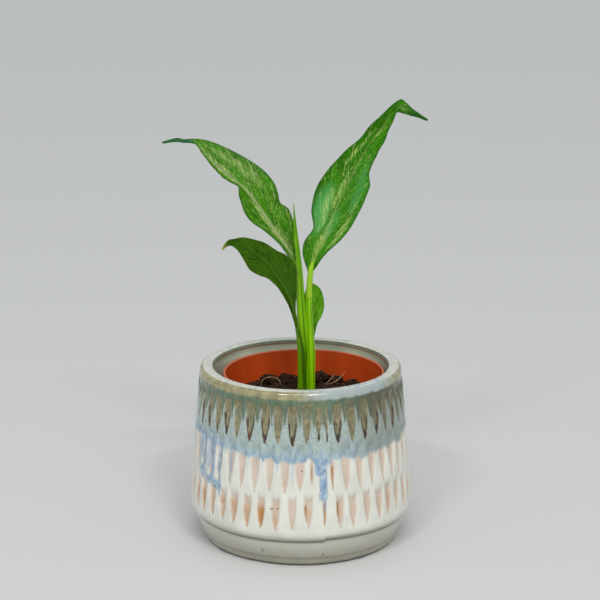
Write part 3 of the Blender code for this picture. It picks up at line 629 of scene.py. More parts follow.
def planter_rows():
    """Rows of the planter's surface from near the middle of its floor, over the rim, to its underside.

    Each row is radius, height and which part it is: 0 inside, 1 rim, 2 outside and 3 underside.
    """
    floor_radius = wall_radius(PLANTER_FLOOR_Z) - PLANTER_WALL
    fillet = PLANTER_WALL
    rows = [(radius, PLANTER_FLOOR_Z, 0) for radius in (6.0, 18.0, floor_radius - fillet - 1.5)]
    for turn in np.radians(np.linspace(-90.0, 0.0, 6)):
        centre = wall_radius(PLANTER_FLOOR_Z + fillet) - PLANTER_WALL - fillet
        rows.append((centre + fillet * math.cos(turn), PLANTER_FLOOR_Z + fillet + fillet * math.sin(turn), 0))
    rim_round = 0.5 * PLANTER_WALL
    rim_z = PLANTER_HEIGHT - rim_round
    for height in (20.0, 30.0, 40.0, 48.0, *np.arange(55.0, rim_z - 0.3, 0.6)):
        rows.append((wall_radius(height) - PLANTER_WALL, height, 0))
    for turn in np.radians(np.linspace(180.0, 0.0, 21)):
        square = RIM_SQUARE_INSIDE if math.cos(turn) < 0.0 else RIM_SQUARE_OUTSIDE
        flat = [math.copysign(abs(value) ** square, value) for value in (math.cos(turn), math.sin(turn))]
        flat[0] *= RIM_INNER_REACH if flat[0] < 0.0 else 1.0
        rows.append((wall_radius(rim_z) - rim_round + rim_round * flat[0], rim_z + rim_round * flat[1], 1))
    for height in np.arange(rim_z - 0.4, SHOULDER_TOP, -0.5):
        rows.append((wall_radius(height), height, 2))
    foot = smooth_path(FOOT_OUTLINE, 2)[::-1]
    rows += [(radius, height, 2) for radius, height in foot]
    rows += [(radius, PLANTER_BASE_Z, 3) for radius in (35.9, 30.0, 18.0)]
    return np.array(rows)


def boxed(angles, heights, angle, half_width, high, low, soft):
    """1 inside an upright streak on the wall, pointed at its lower end, and 0 outside it."""
    reach = np.abs(np.radians(angle_apart(angles, angle))) * WALL_BASE_RADIUS
    share = np.clip((heights - low) / (high - low), 0.0, 1.0)
    narrow = half_width * (0.3 + 0.7 * np.sqrt(share))
    across = smoothstep(narrow + soft, narrow - soft, reach)
    return across * smoothstep(low - soft, low + 2.0, heights) * smoothstep(high + 0.6, high - 1.2, heights)


def strongest(fields):
    """The highest of several fields at each point."""
    return np.max(np.stack(list(fields)), axis=0)


def glaze_fields(angles, heights, part, flutes):
    """What the glaze does at each point of the planter, where shade is painted on it, and how deep its flutes
    are there.
    """
    depth, inside, down, aside, own = flute_fields(angles, heights, flutes)
    outside = part == 2
    upper, middle, lower = (inside[name] for name in ("upper", "middle", "lower"))
    edge = np.interp(angles, *zip(*BLUE_EDGE))
    ridge = 1.0 - np.clip(depth / 0.6, 0.0, 1.0)
    runs = []
    for angle, half_width, low, strength in BLUE_RUNS:
        narrow = half_width * np.clip((heights - low) / 9.0 + 0.3, 0.2, 1.0)
        reach = np.abs(np.radians(angle_apart(angles, angle))) * WALL_BASE_RADIUS
        strip = smoothstep(narrow + 0.25, narrow - 0.25, reach) * smoothstep(low - 0.6, low + 1.4, heights)
        runs.append(strip * strength * (heights < edge + 2.0))
    for angle, height, half_width, half_height in BLUE_POOLS:
        reach = np.radians(angle_apart(angles, angle)) * WALL_BASE_RADIUS / half_width
        runs.append(0.85 * smoothstep(1.5, 0.3, np.hypot(reach, (heights - height) / half_height)))
    # Dark glaze gathers along both sides of most upper flutes, and at their lower tips
    down_upper, aside_upper, own_upper = (field["upper"] for field in (down, aside, own))
    brink = between(aside_upper, 0.3, 0.58, 0.8, 1.1)
    flank = brink * between(down_upper, 0.32, 0.5, 0.9, 1.0)
    tip = between(down_upper, 0.62, 0.85, 0.9, 0.97) * (aside_upper < 0.9)
    dark = upper * smoothstep(0.12, 0.5, own_upper) * np.maximum(flank, 0.85 * tip)
    streaks = strongest(boxed(angles, heights, angle, half_width, top, bottom, 0.35)
                        for angle, half_width, top, bottom in OCHRE_STREAKS)
    # Ochre shows low in the lower flutes, more at their sides
    warm_edge = 0.7 + 0.3 * smoothstep(0.2, 0.7, aside["lower"])
    lower_warm = lower * smoothstep(0.36, 0.6, down["lower"]) * warm_edge * (0.5 + 0.5 * own["lower"])
    lower_warm *= np.interp(angles, *zip(*OCHRE_SHARE))
    specks = []
    for angle, height, radius in SPECKS:
        reach = np.radians(angle_apart(angles, angle)) * WALL_BASE_RADIUS
        specks.append(smoothstep(1.3, 0.5, np.hypot(reach, heights - height) / radius))
    spike = GREEN_EDGE - GREEN_SPIKE * ridge ** 2
    return depth * outside, {
        "blue_level": np.where(outside, np.clip(heights - edge, -20.0, 30.0), 30.0),
        "blue_run": strongest(runs) * outside,
        "teal_level": np.where(outside, np.clip(heights - spike, -20.0, 10.0), 10.0),
        "tan": upper * between(down_upper, 0.03, 0.12, 0.9, 1.0) * outside,
        "dark": dark * outside,
        "blush": np.maximum(middle, lower) * smoothstep(0.0, 0.5, depth) * outside,
        "ochre": lower_warm * outside,
        "streak": streaks * outside * smoothstep(0.0, 0.25, depth),
        # Painted shade on the foot, darker where it turns down away from the light
        "foot": outside * np.interp(heights, *zip(*FOOT_PAINTED_SHADE)),
        # Painted shade lines in the creases under the shoulder and where the foot curves in near the bottom
        "crease_shade": outside * (between(heights, 9.8, 10.6, 11.0, 11.4)
                             + 0.7 * between(heights, 2.7, 3.3, 3.6, 4.2)),
        "speck": strongest(specks) * outside,
        # Painted shade on the planter's right side
        "right_side_shade": between(angles, 12.0, 52.0, 110.0, 170.0),
    }


def rim_fields(angles, heights, part, radii):
    """The pale top of the rim, the tan band on its outer edge and the brown line on its inner edge."""
    middle = wall_radius(PLANTER_HEIGHT - 0.5 * PLANTER_WALL) - 0.5 * PLANTER_WALL
    outward = (radii - middle) / (0.5 * PLANTER_WALL)
    rim = part == 1
    top = rim * between(outward, -0.98, -0.8, 0.35, 0.7)
    side = (part > 0) & (part < 3)
    below = PLANTER_HEIGHT - heights
    band = side * smoothstep(3.9, 1.9, below) * smoothstep(0.1, 0.7, outward)
    line = (part < 2) * between(below, 0.7, 1.1, 1.8, 2.3) * (outward < 0.0)
    blue = between(angles, -4.0, 14.0, 45.0, 75.0)
    ring = (part == 0) * between(below, 4.8, 5.2, 5.9, 6.3)
    ring = ring * between(angles, -165.0, -120.0, -60.0, -40.0)
    inner = (part == 0) | (rim & (outward < -1.05))
    return {"rim_top": top, "rim_band": band, "rim_line": line, "rim_blue": blue, "inner_ring": ring,
            "inner": inner}


def build_planter():
    rows = planter_rows()
    columns = np.linspace(-180.0, 180.0, PLANTER_COLUMNS, endpoint=False)
    radii, angles = np.meshgrid(rows[:, 0], columns, indexing="ij")
    heights, part = (np.meshgrid(rows[:, k], columns, indexing="ij")[0] for k in (1, 2))
    flutes = flute_list()
    depth, fields = glaze_fields(angles, heights, part, flutes)
    fields.update(rim_fields(angles, heights, part, radii))
    turned = np.radians(angles)
    # At the mould seam the foot steps up, and a thin ridge stands out
    past_seam = angle_apart(angles, SEAM_ANGLE)
    lift = SEAM_STEP_RISE * (past_seam > 0.0) * smoothstep(48.0, 4.0, past_seam)
    outside = part == 2
    heights = heights + lift * outside * between(heights, 5.9, 10.4, 11.5, 14.5)
    wedge = 0.35 * smoothstep(1.3, 0.2, np.abs(past_seam)) * between(heights, 2.6, 4.0, 10.3, 11.3) * outside
    # A hand-dipped surface: slow sways and fine ripples
    sway = 0.10 * np.sin(turned * 3.0 + heights * 0.11) + 0.07 * np.sin(turned * 7.0 - heights * 0.2 + 1.3)
    ripple = np.zeros_like(radii)
    for cycles, tilt, size in ((31.0, 0.5, 0.03), (53.0, -0.8, 0.02), (17.0, 0.9, 0.04)):
        ripple += size * np.sin(turned * cycles + heights * tilt + cycles)
    fold = np.where(outside, sway + ripple, 0.4 * sway) * (part < 3)
    radii = radii - depth + wedge + fold
    points = np.stack([radii * np.sin(turned), -radii * np.cos(turned), heights], axis=-1)
    points = points.reshape(-1, 3)
    faces = grid_faces(len(rows), PLANTER_COLUMNS, True)
    centres = [(0.0, 0.0, PLANTER_FLOOR_Z), (0.0, 0.0, PLANTER_BASE_Z)]
    last = (len(rows) - 1) * PLANTER_COLUMNS
    for j in range(PLANTER_COLUMNS):
        right = (j + 1) % PLANTER_COLUMNS
        faces.append((len(points), right, j))
        faces.append((len(points) + 1, last + j, last + right))
    points = np.vstack([points, centres])
    flat = {key: np.append(np.asarray(values, dtype=float).ravel(), (0.0, 0.0))
            for key, values in fields.items()}
    flat["underside"] = np.append((part == 3).ravel().astype(float), (0.0, 1.0))
    mesh = make_mesh("planter", points, faces, flat)
    face_outwards(mesh)
    add_piece("planter", mesh, glaze_material(), "glazed_stoneware", "ceramic_planter")


def glaze_material():
    paint = Paint("stoneware_glaze", srgb(226, 227, 217), Roughness=0.12, IOR=1.5, Coat_Weight=0.45,
                  Coat_Roughness=0.03)
    runny = paint.place((1.0, 1.0, 0.22))
    drifting = paint.place((1.0, 1.0, 0.5))
    fine = paint.noise(1000.0, 4.0, drifting)
    mottle = paint.noise(520.0, 4.0, runny)
    broad = paint.noise(240.0, 3.0, drifting, 0.6)
    cloud = paint.noise(110.0, 2.0)
    speckle = paint.noise(2100.0, 2.0)
    drift = paint.noise(420.0, 4.0)
    paint.tint(cloud, 0.35, 0.7, srgb(212, 212, 198), 0.5)
    blush = paint.times(paint.attribute("blush"), paint.spread(mottle, 0.3, 0.7, 0.7, 1.0))
    paint.layer(blush, srgb(208, 184, 164))
    ochre = paint.times(paint.attribute("ochre"), paint.spread(broad, 0.3, 0.62, 0.25, 1.0))
    paint.layer(paint.maths("MINIMUM", ochre, 1.0), srgb(190, 134, 76))
    streak = paint.times(paint.attribute("streak"), paint.spread(mottle, 0.25, 0.6, 0.6, 1.0))
    paint.layer(streak, srgb(170, 114, 36))
    # Painted shade on the foot: a grey that stands in for the shade where it faces down
    foot = paint.mottled(cloud, 0.3, 0.7, srgb(142, 140, 125), srgb(156, 153, 137))
    paint.layer(paint.attribute("foot"), foot)
    # Painted shade lines in the foot's creases
    paint.layer(paint.times(paint.attribute("crease_shade"), 0.7), srgb(118, 104, 84))

    # The blue glaze over the white, with its runs
    level = paint.attribute("blue_level")
    wander = paint.maths("ADD", paint.times(paint.maths("SUBTRACT", mottle, 0.5), 5.0),
                         paint.times(paint.maths("SUBTRACT", broad, 0.5), 4.0))
    blue_share = paint.spread(paint.maths("ADD", level, wander), -0.9, 0.9)
    blue = paint.mottled(mottle, 0.36, 0.64, srgb(146, 172, 184), srgb(182, 200, 200))
    blue = paint.mottled(broad, 0.42, 0.62, blue, srgb(166, 182, 172))
    blue = paint.mottled(fine, 0.54, 0.7, blue, srgb(112, 138, 160), 0.75)
    low = paint.times(paint.spread(level, 0.8, 5.0, 1.0, 0.0), paint.spread(broad, 0.35, 0.6))
    deep = paint.mottled(drift, 0.42, 0.62, srgb(124, 158, 190), srgb(166, 190, 204))
    blue = paint.blend(paint.times(low, 0.75), blue, deep)
    high = paint.spread(level, 3.0, 9.0)
    ridge_colour = paint.mottled(speckle, 0.42, 0.6, srgb(180, 196, 192), srgb(140, 160, 156))
    ridge_colour = paint.mottled(fine, 0.5, 0.66, ridge_colour, srgb(150, 160, 132), 0.6)
    blue = paint.blend(high, blue, ridge_colour)
    # Painted shade: the blue is darker and greyer on the right side
    blue = paint.blend(paint.times(paint.attribute("right_side_shade"), 0.75), blue, srgb(128, 140, 128))
    paint.layer(paint.times(blue_share, 0.96), blue)
    run = paint.ragged(paint.attribute("blue_run"), mottle, 1.0, 0.42)
    run_colour = paint.mottled(fine, 0.42, 0.6, srgb(104, 138, 178), srgb(142, 172, 200))
    run_colour = paint.mottled(drift, 0.5, 0.7, run_colour, srgb(186, 206, 216), 0.8)
    paint.layer(paint.times(run, 0.88), run_colour)

    # The green band under the rim, and what the flutes show below it
    teal_level = paint.maths("ADD", paint.attribute("teal_level"), wander)
    teal_share = paint.spread(teal_level, -1.4, 1.4)
    teal = paint.mottled(mottle, 0.36, 0.64, srgb(78, 104, 82), srgb(112, 124, 94))
    teal = paint.mottled(broad, 0.45, 0.65, teal, srgb(98, 126, 110), 0.6)
    teal = paint.mottled(speckle, 0.5, 0.66, teal, srgb(72, 92, 72), 0.6)
    # Painted shade: the green band is darker and browner on the right side
    teal = paint.blend(paint.times(paint.attribute("right_side_shade"), 0.9), teal, srgb(74, 74, 48))
    paint.layer(teal_share, teal)
    tan_share = paint.ragged(paint.attribute("tan"), mottle, 0.7, 0.4)
    tan = paint.mottled(fine, 0.38, 0.62, srgb(112, 102, 62), srgb(150, 140, 96))
    tan = paint.mottled(broad, 0.5, 0.64, tan, srgb(94, 102, 72), 0.7)
    # Painted shade: the tan is darker on the right side
    tan = paint.blend(paint.times(paint.attribute("right_side_shade"), 0.6), tan, srgb(84, 74, 46))
    paint.layer(paint.times(tan_share, 0.9), tan)
    dark_share = paint.ragged(paint.attribute("dark"), mottle, 0.7, 0.25)
    dark = paint.mottled(cloud, 0.45, 0.6, srgb(40, 36, 30), srgb(80, 42, 30))
    paint.layer(paint.times(dark_share, 0.92), dark)

    # Rim and inside
    # Painted light: the inside is painted much paler than its teal-grey glaze, standing in for the light and
    # highlights on the inner wall
    inside = paint.mottled(cloud, 0.3, 0.7, srgb(210, 236, 206), srgb(236, 246, 222))
    paint.layer(paint.attribute("inner"), inside)
    paint.layer(paint.times(paint.attribute("inner_ring"), 0.9), srgb(232, 226, 204))
    band = paint.mottled(drift, 0.35, 0.65, srgb(142, 135, 96), srgb(168, 162, 122))
    band = paint.blend(paint.times(paint.attribute("rim_blue"), 0.8), band, srgb(168, 184, 188))
    paint.layer(paint.ragged(paint.attribute("rim_band"), drift, 1.1, 0.4), band)
    top = paint.mottled(drift, 0.35, 0.65, srgb(202, 204, 188), srgb(226, 226, 212))
    blotch = paint.times(paint.spread(drift, 0.44, 0.6, 0.0, 0.8),
                         paint.spread(paint.attribute("rim_blue"), 0.0, 0.8, 0.15, 1.0))
    top = paint.blend(blotch, top, srgb(148, 172, 190))
    paint.layer(paint.ragged(paint.attribute("rim_top"), fine, 0.4, 0.4), top)
    line = paint.ragged(paint.attribute("rim_line"), cloud, 0.5, 0.6)
    paint.layer(paint.times(line, 0.9), srgb(104, 78, 52))
    paint.layer(paint.attribute("speck"), srgb(66, 40, 22))
    bare = paint.attribute("underside")
    paint.layer(bare, srgb(196, 182, 158))
    gloss = paint.spread(bare, 0.2, 0.8, 0.12, 0.75)
    paint.join(gloss, paint.shader.inputs["Roughness"])
    paint.bump(paint.maths("ADD", paint.times(mottle, 0.7), paint.times(speckle, 0.3)),
               0.07, 0.5)
    return paint.finish()


# ---------------------------------------------------------------- bumper pads

def build_pads():
    silicone = silicone_material()
    for index in range(PAD_COUNT):
        node = f"bumper_pad_{index + 1}"
        low, high = node_box(node)
        centre = 0.5 * (low + high)
        radius = 0.5 * (high.x - low.x)
        thick = high.z - low.z
        outline = [(0.02, low.z), (0.5 * radius, low.z), (0.85 * radius, low.z)]
        outline += [(radius * (0.94 + 0.06 * math.sin(math.pi * share)), low.z + thick * 0.5 * share)
                    for share in np.linspace(0.0, 1.0, 7)]
        outline += [(radius * share, low.z + thick * (1.0 - 0.5 * share ** 4))
                    for share in np.linspace(0.9, 0.0, 8)[:-1]]
        outline.append((0.02, high.z))
        mesh = turned_mesh(f"clear_pad_{index + 1}", outline, 64, (centre.x, centre.y), {})
        add_piece(mesh.name, mesh, silicone, "clear_silicone", node)


def turned_mesh(name, outline, columns, centre, fields):
    """A closed outline of (radius, height) turned about an upright axis."""
    rows = np.array(outline)
    radii, around = np.meshgrid(rows[:, 0], turns_round(columns), indexing="ij")
    x = centre[0] + radii * np.cos(around)
    y = centre[1] + radii * np.sin(around)
    points = np.stack([x, y, np.repeat(rows[:, 1:], columns, axis=1)], axis=-1)
    flat = {key: np.repeat(values, columns) for key, values in fields.items()}
    mesh = make_mesh(name, points.reshape(-1, 3), tube_faces(len(rows), columns), flat)
    face_outwards(mesh)
    return mesh


def silicone_material():
    paint = Paint("clear_silicone_pad", srgb(214, 216, 208), Roughness=0.18, IOR=1.42,
                  Transmission_Weight=0.6)
    dust = paint.noise(600.0, 4.0)
    paint.tint(dust, 0.5, 0.75, srgb(188, 188, 178), 0.4)
    paint.bump(dust, 0.03, 0.4)
    return paint.finish()


# ---------------------------------------------------------------- nursery pot

def nursery_inner_radius(height_above_floor):
    wall_top = NURSERY_LIP_RADIUS - NURSERY_LIP_WIDTH
    wall_height = NURSERY_HEIGHT - NURSERY_LIP_HEIGHT
    inner_base = NURSERY_BASE_RADIUS - NURSERY_WALL
    return inner_base + (wall_top - inner_base) * height_above_floor / wall_height


def build_nursery_pot():
    base, top = NURSERY_BASE_Z, NURSERY_TOP_Z
    lip_low = top - NURSERY_LIP_HEIGHT
    wall_height = NURSERY_HEIGHT - NURSERY_LIP_HEIGHT
    wall_top = nursery_inner_radius(wall_height)
    lip_inner = NURSERY_LIP_RADIUS - NURSERY_WALL
    bead = 0.5 * NURSERY_WALL
    outline = [(0.02, base + NURSERY_WALL), (0.5 * NURSERY_BASE_RADIUS, base + NURSERY_WALL)]
    outline += [(nursery_inner_radius(NURSERY_WALL) - 1.0, base + NURSERY_WALL)]
    for height in np.linspace(2.0, wall_height - 2.0, 40):
        outline.append((nursery_inner_radius(height), base + height))
    for share in np.linspace(0.0, 1.0, 14):
        radius = nursery_inner_radius(wall_height - 1.4) * (1.0 - share) + lip_inner * share
        outline.append((radius, lip_low - 1.4 + share * (NURSERY_LIP_HEIGHT + 0.6)))
    for turn in np.radians(np.linspace(180.0, 0.0, 9)):
        outline.append((NURSERY_LIP_RADIUS - bead + 1.15 * bead * math.cos(turn),
                        top - bead + bead * math.sin(turn)))
    outline += [(NURSERY_LIP_RADIUS, top - 1.0), (NURSERY_LIP_RADIUS, lip_low + 0.1)]
    outline += [(NURSERY_LIP_RADIUS - 0.1, lip_low), (wall_top + NURSERY_WALL, lip_low)]
    for height in np.linspace(wall_height - 0.4, 1.2, 30):
        outline.append((nursery_inner_radius(height) + NURSERY_WALL, base + height))
    outline += [(NURSERY_BASE_RADIUS - 0.3, base + 0.2), (NURSERY_BASE_RADIUS - 1.0, base)]
    outline += [(0.5 * NURSERY_BASE_RADIUS, base), (0.02, base)]
    heights = np.array([height for radius, height in outline])
    # A painted highlight along the rounded top of the lip
    lip = smoothstep(top - 0.9, top - 0.25, heights)
    mesh = turned_mesh("grow_pot", outline, NURSERY_COLUMNS, (NURSERY_OFFSET, 0.0), {"lip": lip})
    paint = Paint("terracotta_plastic", srgb(198, 74, 20), Roughness=0.4, Specular_IOR_Level=0.3)
    brushed = paint.noise(160.0, 3.0, paint.place((1.0, 1.0, 0.12)))
    dust = paint.noise(700.0, 4.0)
    paint.tint(brushed, 0.35, 0.7, srgb(182, 66, 18))
    paint.tint(dust, 0.58, 0.78, srgb(138, 56, 30), 0.35)
    # The painted highlight on the lip
    paint.layer(paint.times(paint.attribute("lip"), 0.75), srgb(206, 106, 74))
    paint.bump(brushed, 0.05, 0.4)
    paint.join(paint.spread(dust, 0.3, 0.7, 0.3, 0.42), paint.shader.inputs["Roughness"])
    add_piece("grow_pot", mesh, paint.finish(), "terracotta_plastic", "nursery_pot")


# ---------------------------------------------------------------- compost

def soil_height(x, y):
    """Height of the compost above the surface, at x, y from the nursery pot's axis."""
    reach = min(1.0, math.hypot(x, y) / COMPOST_RADIUS)
    lumps = noise.noise(Vector((x / 7.0, y / 7.0, 3.7)))
    return CROWN_Z - MOUND_DROP * reach ** MOUND_SHAPE + 0.5 * lumps


def crumble(x, y):
    """The fine roughness of the compost's surface."""
    spot = Vector((x, y, 0.0))
    coarse = noise.fractal(spot / 3.1, 0.9, 2.1, 3)
    fine = noise.fractal(spot / 0.9, 0.8, 2.2, 2)
    cell = noise.voronoi(spot / 1.7)[0][0]
    return 0.85 * coarse + 0.32 * fine + 0.7 * (0.5 - cell)


def compost_material():
    paint = Paint("compost_mix", srgb(34, 23, 15), Roughness=0.95, Specular_IOR_Level=0.2)
    grain = paint.noise(1500.0, 5.0)
    patch = paint.noise(380.0, 3.0)
    bits = paint.cells(1100.0)
    paint.tint(patch, 0.35, 0.7, srgb(58, 38, 24))
    paint.tint(grain, 0.52, 0.72, srgb(104, 72, 46), 0.85)
    paint.tint(bits, 0.16, 0.08, srgb(136, 98, 66), 0.55)
    paint.tint(patch, 0.46, 0.34, srgb(12, 8, 5), 0.9)
    paint.bump(grain, 0.25, 0.9)
    return paint.finish()


def build_soil(material):
    edge = COMPOST_RADIUS - 0.35
    turns = turns_round(COMPOST_COLUMNS)
    points = []
    for radius in np.linspace(0.4, edge, COMPOST_RINGS):
        settle = 1.0 if radius < edge - 0.8 else 0.3
        for turn in turns:
            x, y = radius * math.cos(turn), radius * math.sin(turn)
            points.append((NURSERY_OFFSET + x, y, soil_height(x, y) + settle * crumble(x, y)))
    shell = (
        (edge - 0.4, 47.0),
        (nursery_inner_radius(20.0) - 0.4, NURSERY_BASE_Z + 20.0),
        (NURSERY_BASE_RADIUS - NURSERY_WALL - 1.6, NURSERY_BASE_Z + NURSERY_WALL + 0.3),
    )
    for radius, height in shell:
        points += [(NURSERY_OFFSET + radius * math.cos(turn), radius * math.sin(turn), height)
                   for turn in turns]
    mesh = make_mesh("compost", points, tube_faces(COMPOST_RINGS + len(shell), COMPOST_COLUMNS), {})
    face_outwards(mesh)
    add_piece("compost", mesh, material, "compost", "potting_soil")


def ball(subdivisions):
    """Corners and faces of a unit sphere of triangles."""
    edit = bmesh.new()
    bmesh.ops.create_icosphere(edit, subdivisions=subdivisions, radius=1.0)
    edit.verts.ensure_lookup_table()
    corners = np.array([vertex.co for vertex in edit.verts])
    faces = np.array([[vertex.index for vertex in face.verts] for face in edit.faces])
    edit.free()
    return corners, faces


def build_clumps(material):
    corners, faces = ball(5)
    for index in range(CLUMP_COUNT):
        node = f"peat_clump_{index + 1}"
        low, high = node_box(node)
        centre, half = 0.5 * (low + high), 0.5 * (high - low)
        shift = Vector((index * 4.1, index * 2.3, 0.0))
        points = []
        for corner in corners:
            spot = Vector(corner)
            lumpy = noise.fractal(spot * 1.3 + shift, 0.9, 2.0, 3)
            rough = noise.fractal(spot * 5.5 + shift, 0.7, 2.1, 3)
            pitted = noise.voronoi(spot * 3.4 + shift)[0][0]
            grow = 1.04 + 0.34 * lumpy + 0.34 * (0.45 - pitted) + 0.16 * rough
            points.append(tuple(centre[k] + spot[k] * half[k] * grow for k in range(3)))
        mesh = make_mesh(f"clump_{index + 1}", points, faces.tolist(), {})
        add_piece(mesh.name, mesh, material, "compost", node)


def scattered_spot(luck, least, most):
    """A random place on the compost: x, y from the nursery pot's axis."""
    reach = COMPOST_RADIUS * math.sqrt(luck.uniform(least, most))
    turn = luck.uniform(0.0, FULL_TURN)
    return reach * math.cos(turn), reach * math.sin(turn)


def build_crumbs(material):
    """Loose crumbs scattered over the compost, as one piece."""
    luck = np.random.default_rng(SEED + 1)
    corners, faces = ball(2)
    points, all_faces = [], []
    for index in range(CRUMB_COUNT):
        x, y = scattered_spot(luck, 0.01, 0.9)
        size = 0.25 + 0.75 * luck.uniform() ** 2.2
        stretch = luck.uniform(0.6, 1.4, 3)
        spin = luck.uniform(0.0, math.pi)
        grow = 1.0 + 0.28 * luck.normal(0.0, 1.0, len(corners)).clip(-1.5, 1.5)
        shape = corners * stretch * size * grow[:, None]
        x_turned = shape[:, 0] * math.cos(spin) - shape[:, 1] * math.sin(spin)
        y_turned = shape[:, 0] * math.sin(spin) + shape[:, 1] * math.cos(spin)
        height = soil_height(x, y) + crumble(x, y) + 0.35 * size
        all_faces.append(faces + len(points) * len(corners))
        points.append(np.stack([NURSERY_OFFSET + x + x_turned, y + y_turned, height + shape[:, 2]], axis=-1))
    mesh = make_mesh("compost_crumbs", np.vstack(points), np.vstack(all_faces).tolist(), {})
    add_piece("compost_crumbs", mesh, material, "compost")


def fibre_material(name, colour, dark):
    paint = Paint(name, colour, Roughness=0.7)
    paint.layer(paint.spread(paint.noise(700.0, 3.0), 0.4, 0.7), dark)
    paint.bump(paint.noise(2500.0, 2.0), 0.03, 0.5)
    return paint.finish()


def fibre_curve(name, routes, radius):
    """One curve object with a thin tapering fibre along each route of points."""
    curve = bpy.data.curves.new(name, "CURVE")
    curve.dimensions = "3D"
    curve.bevel_depth = radius * MM
    curve.bevel_resolution = 2
    curve.use_fill_caps = True
    for route in routes:
        path = smooth_path(route, 6)
        spline = curve.splines.new("POLY")
        spline.points.add(len(path) - 1)
        for step, (point, place) in enumerate(zip(spline.points, path)):
            share = step / (len(path) - 1)
            point.co = (*(value * MM for value in place), 1.0)
            point.radius = 0.35 + 0.65 * math.sin(math.pi * (0.12 + 0.76 * share))
    return curve


def build_fibres():
    pale = fibre_material("pale_root", srgb(196, 158, 118), srgb(150, 104, 66))
    brown = fibre_material("brown_root", srgb(138, 88, 56), srgb(84, 50, 32))
    for index, fibre in enumerate(FIBRES):
        route = []
        for share_x, share_y, rise in fibre:
            x, y = share_x * COMPOST_RADIUS, share_y * COMPOST_RADIUS
            route.append((NURSERY_OFFSET + x, y, soil_height(x, y) + rise))
        curve = fibre_curve(f"fibre_{index + 1}", [route], FIBRE_RADIUS)
        add_piece(curve.name, curve, pale, "coir_fibre", f"coir_fibre_{index + 1}")
    luck = np.random.default_rng(SEED + 2)
    routes = []
    for index in range(ROOT_BIT_COUNT):
        x, y = scattered_spot(luck, 0.02, 0.85)
        heading = luck.uniform(0.0, FULL_TURN)
        length = luck.uniform(1.6, 4.6)
        bend = luck.normal(0.0, 0.5)
        route = []
        for share in np.linspace(0.0, 1.0, 5):
            px = x + length * share * math.cos(heading + bend * share)
            py = y + length * share * math.sin(heading + bend * share)
            if math.hypot(px, py) > COMPOST_RADIUS - 1.2:
                continue
            lift = 0.5 + 1.1 * math.sin(math.pi * share) * luck.uniform(0.1, 1.0)
            route.append((NURSERY_OFFSET + px, py, soil_height(px, py) + lift + max(0.0, crumble(px, py))))
        if len(route) > 2:
            routes.append(route)
    curve = fibre_curve("root_bits", routes, ROOT_BIT_RADIUS)
    add_piece("root_bits", curve, brown, "coir_fibre")


# ---------------------------------------------------------------- stalks

def ring_points(path, across, front, reach):
    """Rings of points round a path, at a distance from it for each ring and each turn."""
    turns = turns_round(reach.shape[1])[None, :, None]
    points = (path[:, None] + reach[..., None] * np.cos(turns) * across[:, None]
              + reach[..., None] * np.sin(turns) * front[:, None])
    return points.reshape(-1, 3)


def tube_frames(path):
    """Two directions across a path of points, turning as little as they can."""
    along = unit(np.gradient(path, axis=0))
    across = np.zeros_like(along)
    side = np.array([1.0, 0.0, 0.0])
    for i, direction in enumerate(along):
        side = side - direction * side.dot(direction)
        side = side / np.linalg.norm(side)
        across[i] = side
    return across, np.cross(along, across)


def stalk_route(foot, route):
    """A stalk's path in the frame, from its planted end up, with its share of the radius."""
    below = (route[0][0], route[0][1], -PLANTING_DEPTH, route[0][3])
    placed = [(NURSERY_OFFSET + foot[0] + x, foot[1] + y, CROWN_Z + z, share)
              for x, y, z, share in (below, *route)]
    return smooth_path(placed, 9)


def build_stalk(name, foot, route, radius, node, creases, colours):
    """A leaf stalk with creases along it, painted darker in them as shade. Each of the creases is an angle,
    half-width, depth and where it ends.
    """
    path = stalk_route(foot, route)
    across, front = tube_frames(path[:, :3])
    turns = turns_round(STALK_SIDES)
    rows = len(path)
    share_up = np.linspace(0.0, 1.0, rows)
    crease_shade = np.zeros((rows, STALK_SIDES))
    size = np.ones((rows, STALK_SIDES))
    for angle, half_width, depth, ends in creases:
        gap = np.abs((turns - math.radians(angle) + math.pi) % FULL_TURN - math.pi)
        fade = smoothstep(ends + 0.08, ends - 0.08, share_up)
        mark = smoothstep(half_width, 0.0, gap)[None, :] * fade[:, None]
        crease_shade = np.maximum(crease_shade, mark)
        size -= depth * mark
    ribs = 1.0 + 0.025 * np.cos(9.0 * turns)[None, :]
    points = ring_points(path[:, :3], across, front, radius * path[:, 3:4] * size * ribs)
    fields = {"crease_shade": crease_shade.ravel(), "up": np.repeat(share_up, STALK_SIDES)}
    mesh = make_mesh(name, points, tube_faces(rows, STALK_SIDES), fields)
    face_outwards(mesh)
    add_piece(name, mesh, stalk_material(name, *colours), "leaf_stalk", node)


def stalk_material(name, low, high, groove, pale_at=None):
    paint = Paint(name, low, Roughness=0.38, Specular_IOR_Level=0.22, Subsurface_Weight=0.2,
                  Subsurface_Scale=0.002)
    up = paint.attribute("up")
    fibres = paint.noise(900.0, 3.0, paint.place((1.0, 1.0, 0.05)))
    patch = paint.noise(160.0, 2.0)
    paint.tint(up, 0.2, 0.9, high)
    paint.tint(fibres, 0.45, 0.7, groove, 0.4)
    paint.tint(patch, 0.5, 0.75, srgb(158, 200, 30), 0.25)
    # Painted shade in the stalk's creases, in the groove colour that also tints its fibres
    paint.layer(paint.times(paint.attribute("crease_shade"), 0.9), groove)
    if pale_at:
        start, end = pale_at
        rise = paint.spread(up, start - 0.015, start + 0.015)
        fall = paint.spread(up, end + 0.06, end - 0.02)
        paint.layer(paint.times(paint.times(rise, fall), 0.45), srgb(172, 206, 60))
        joint = paint.maths("ABSOLUTE", paint.maths("SUBTRACT", up, start))
        paint.tint(joint, 0.012, 0.003, srgb(92, 136, 10), 0.4)
    paint.bump(fibres, 0.08, 0.5)
    return paint.finish()


# ---------------------------------------------------------------- leaf blades

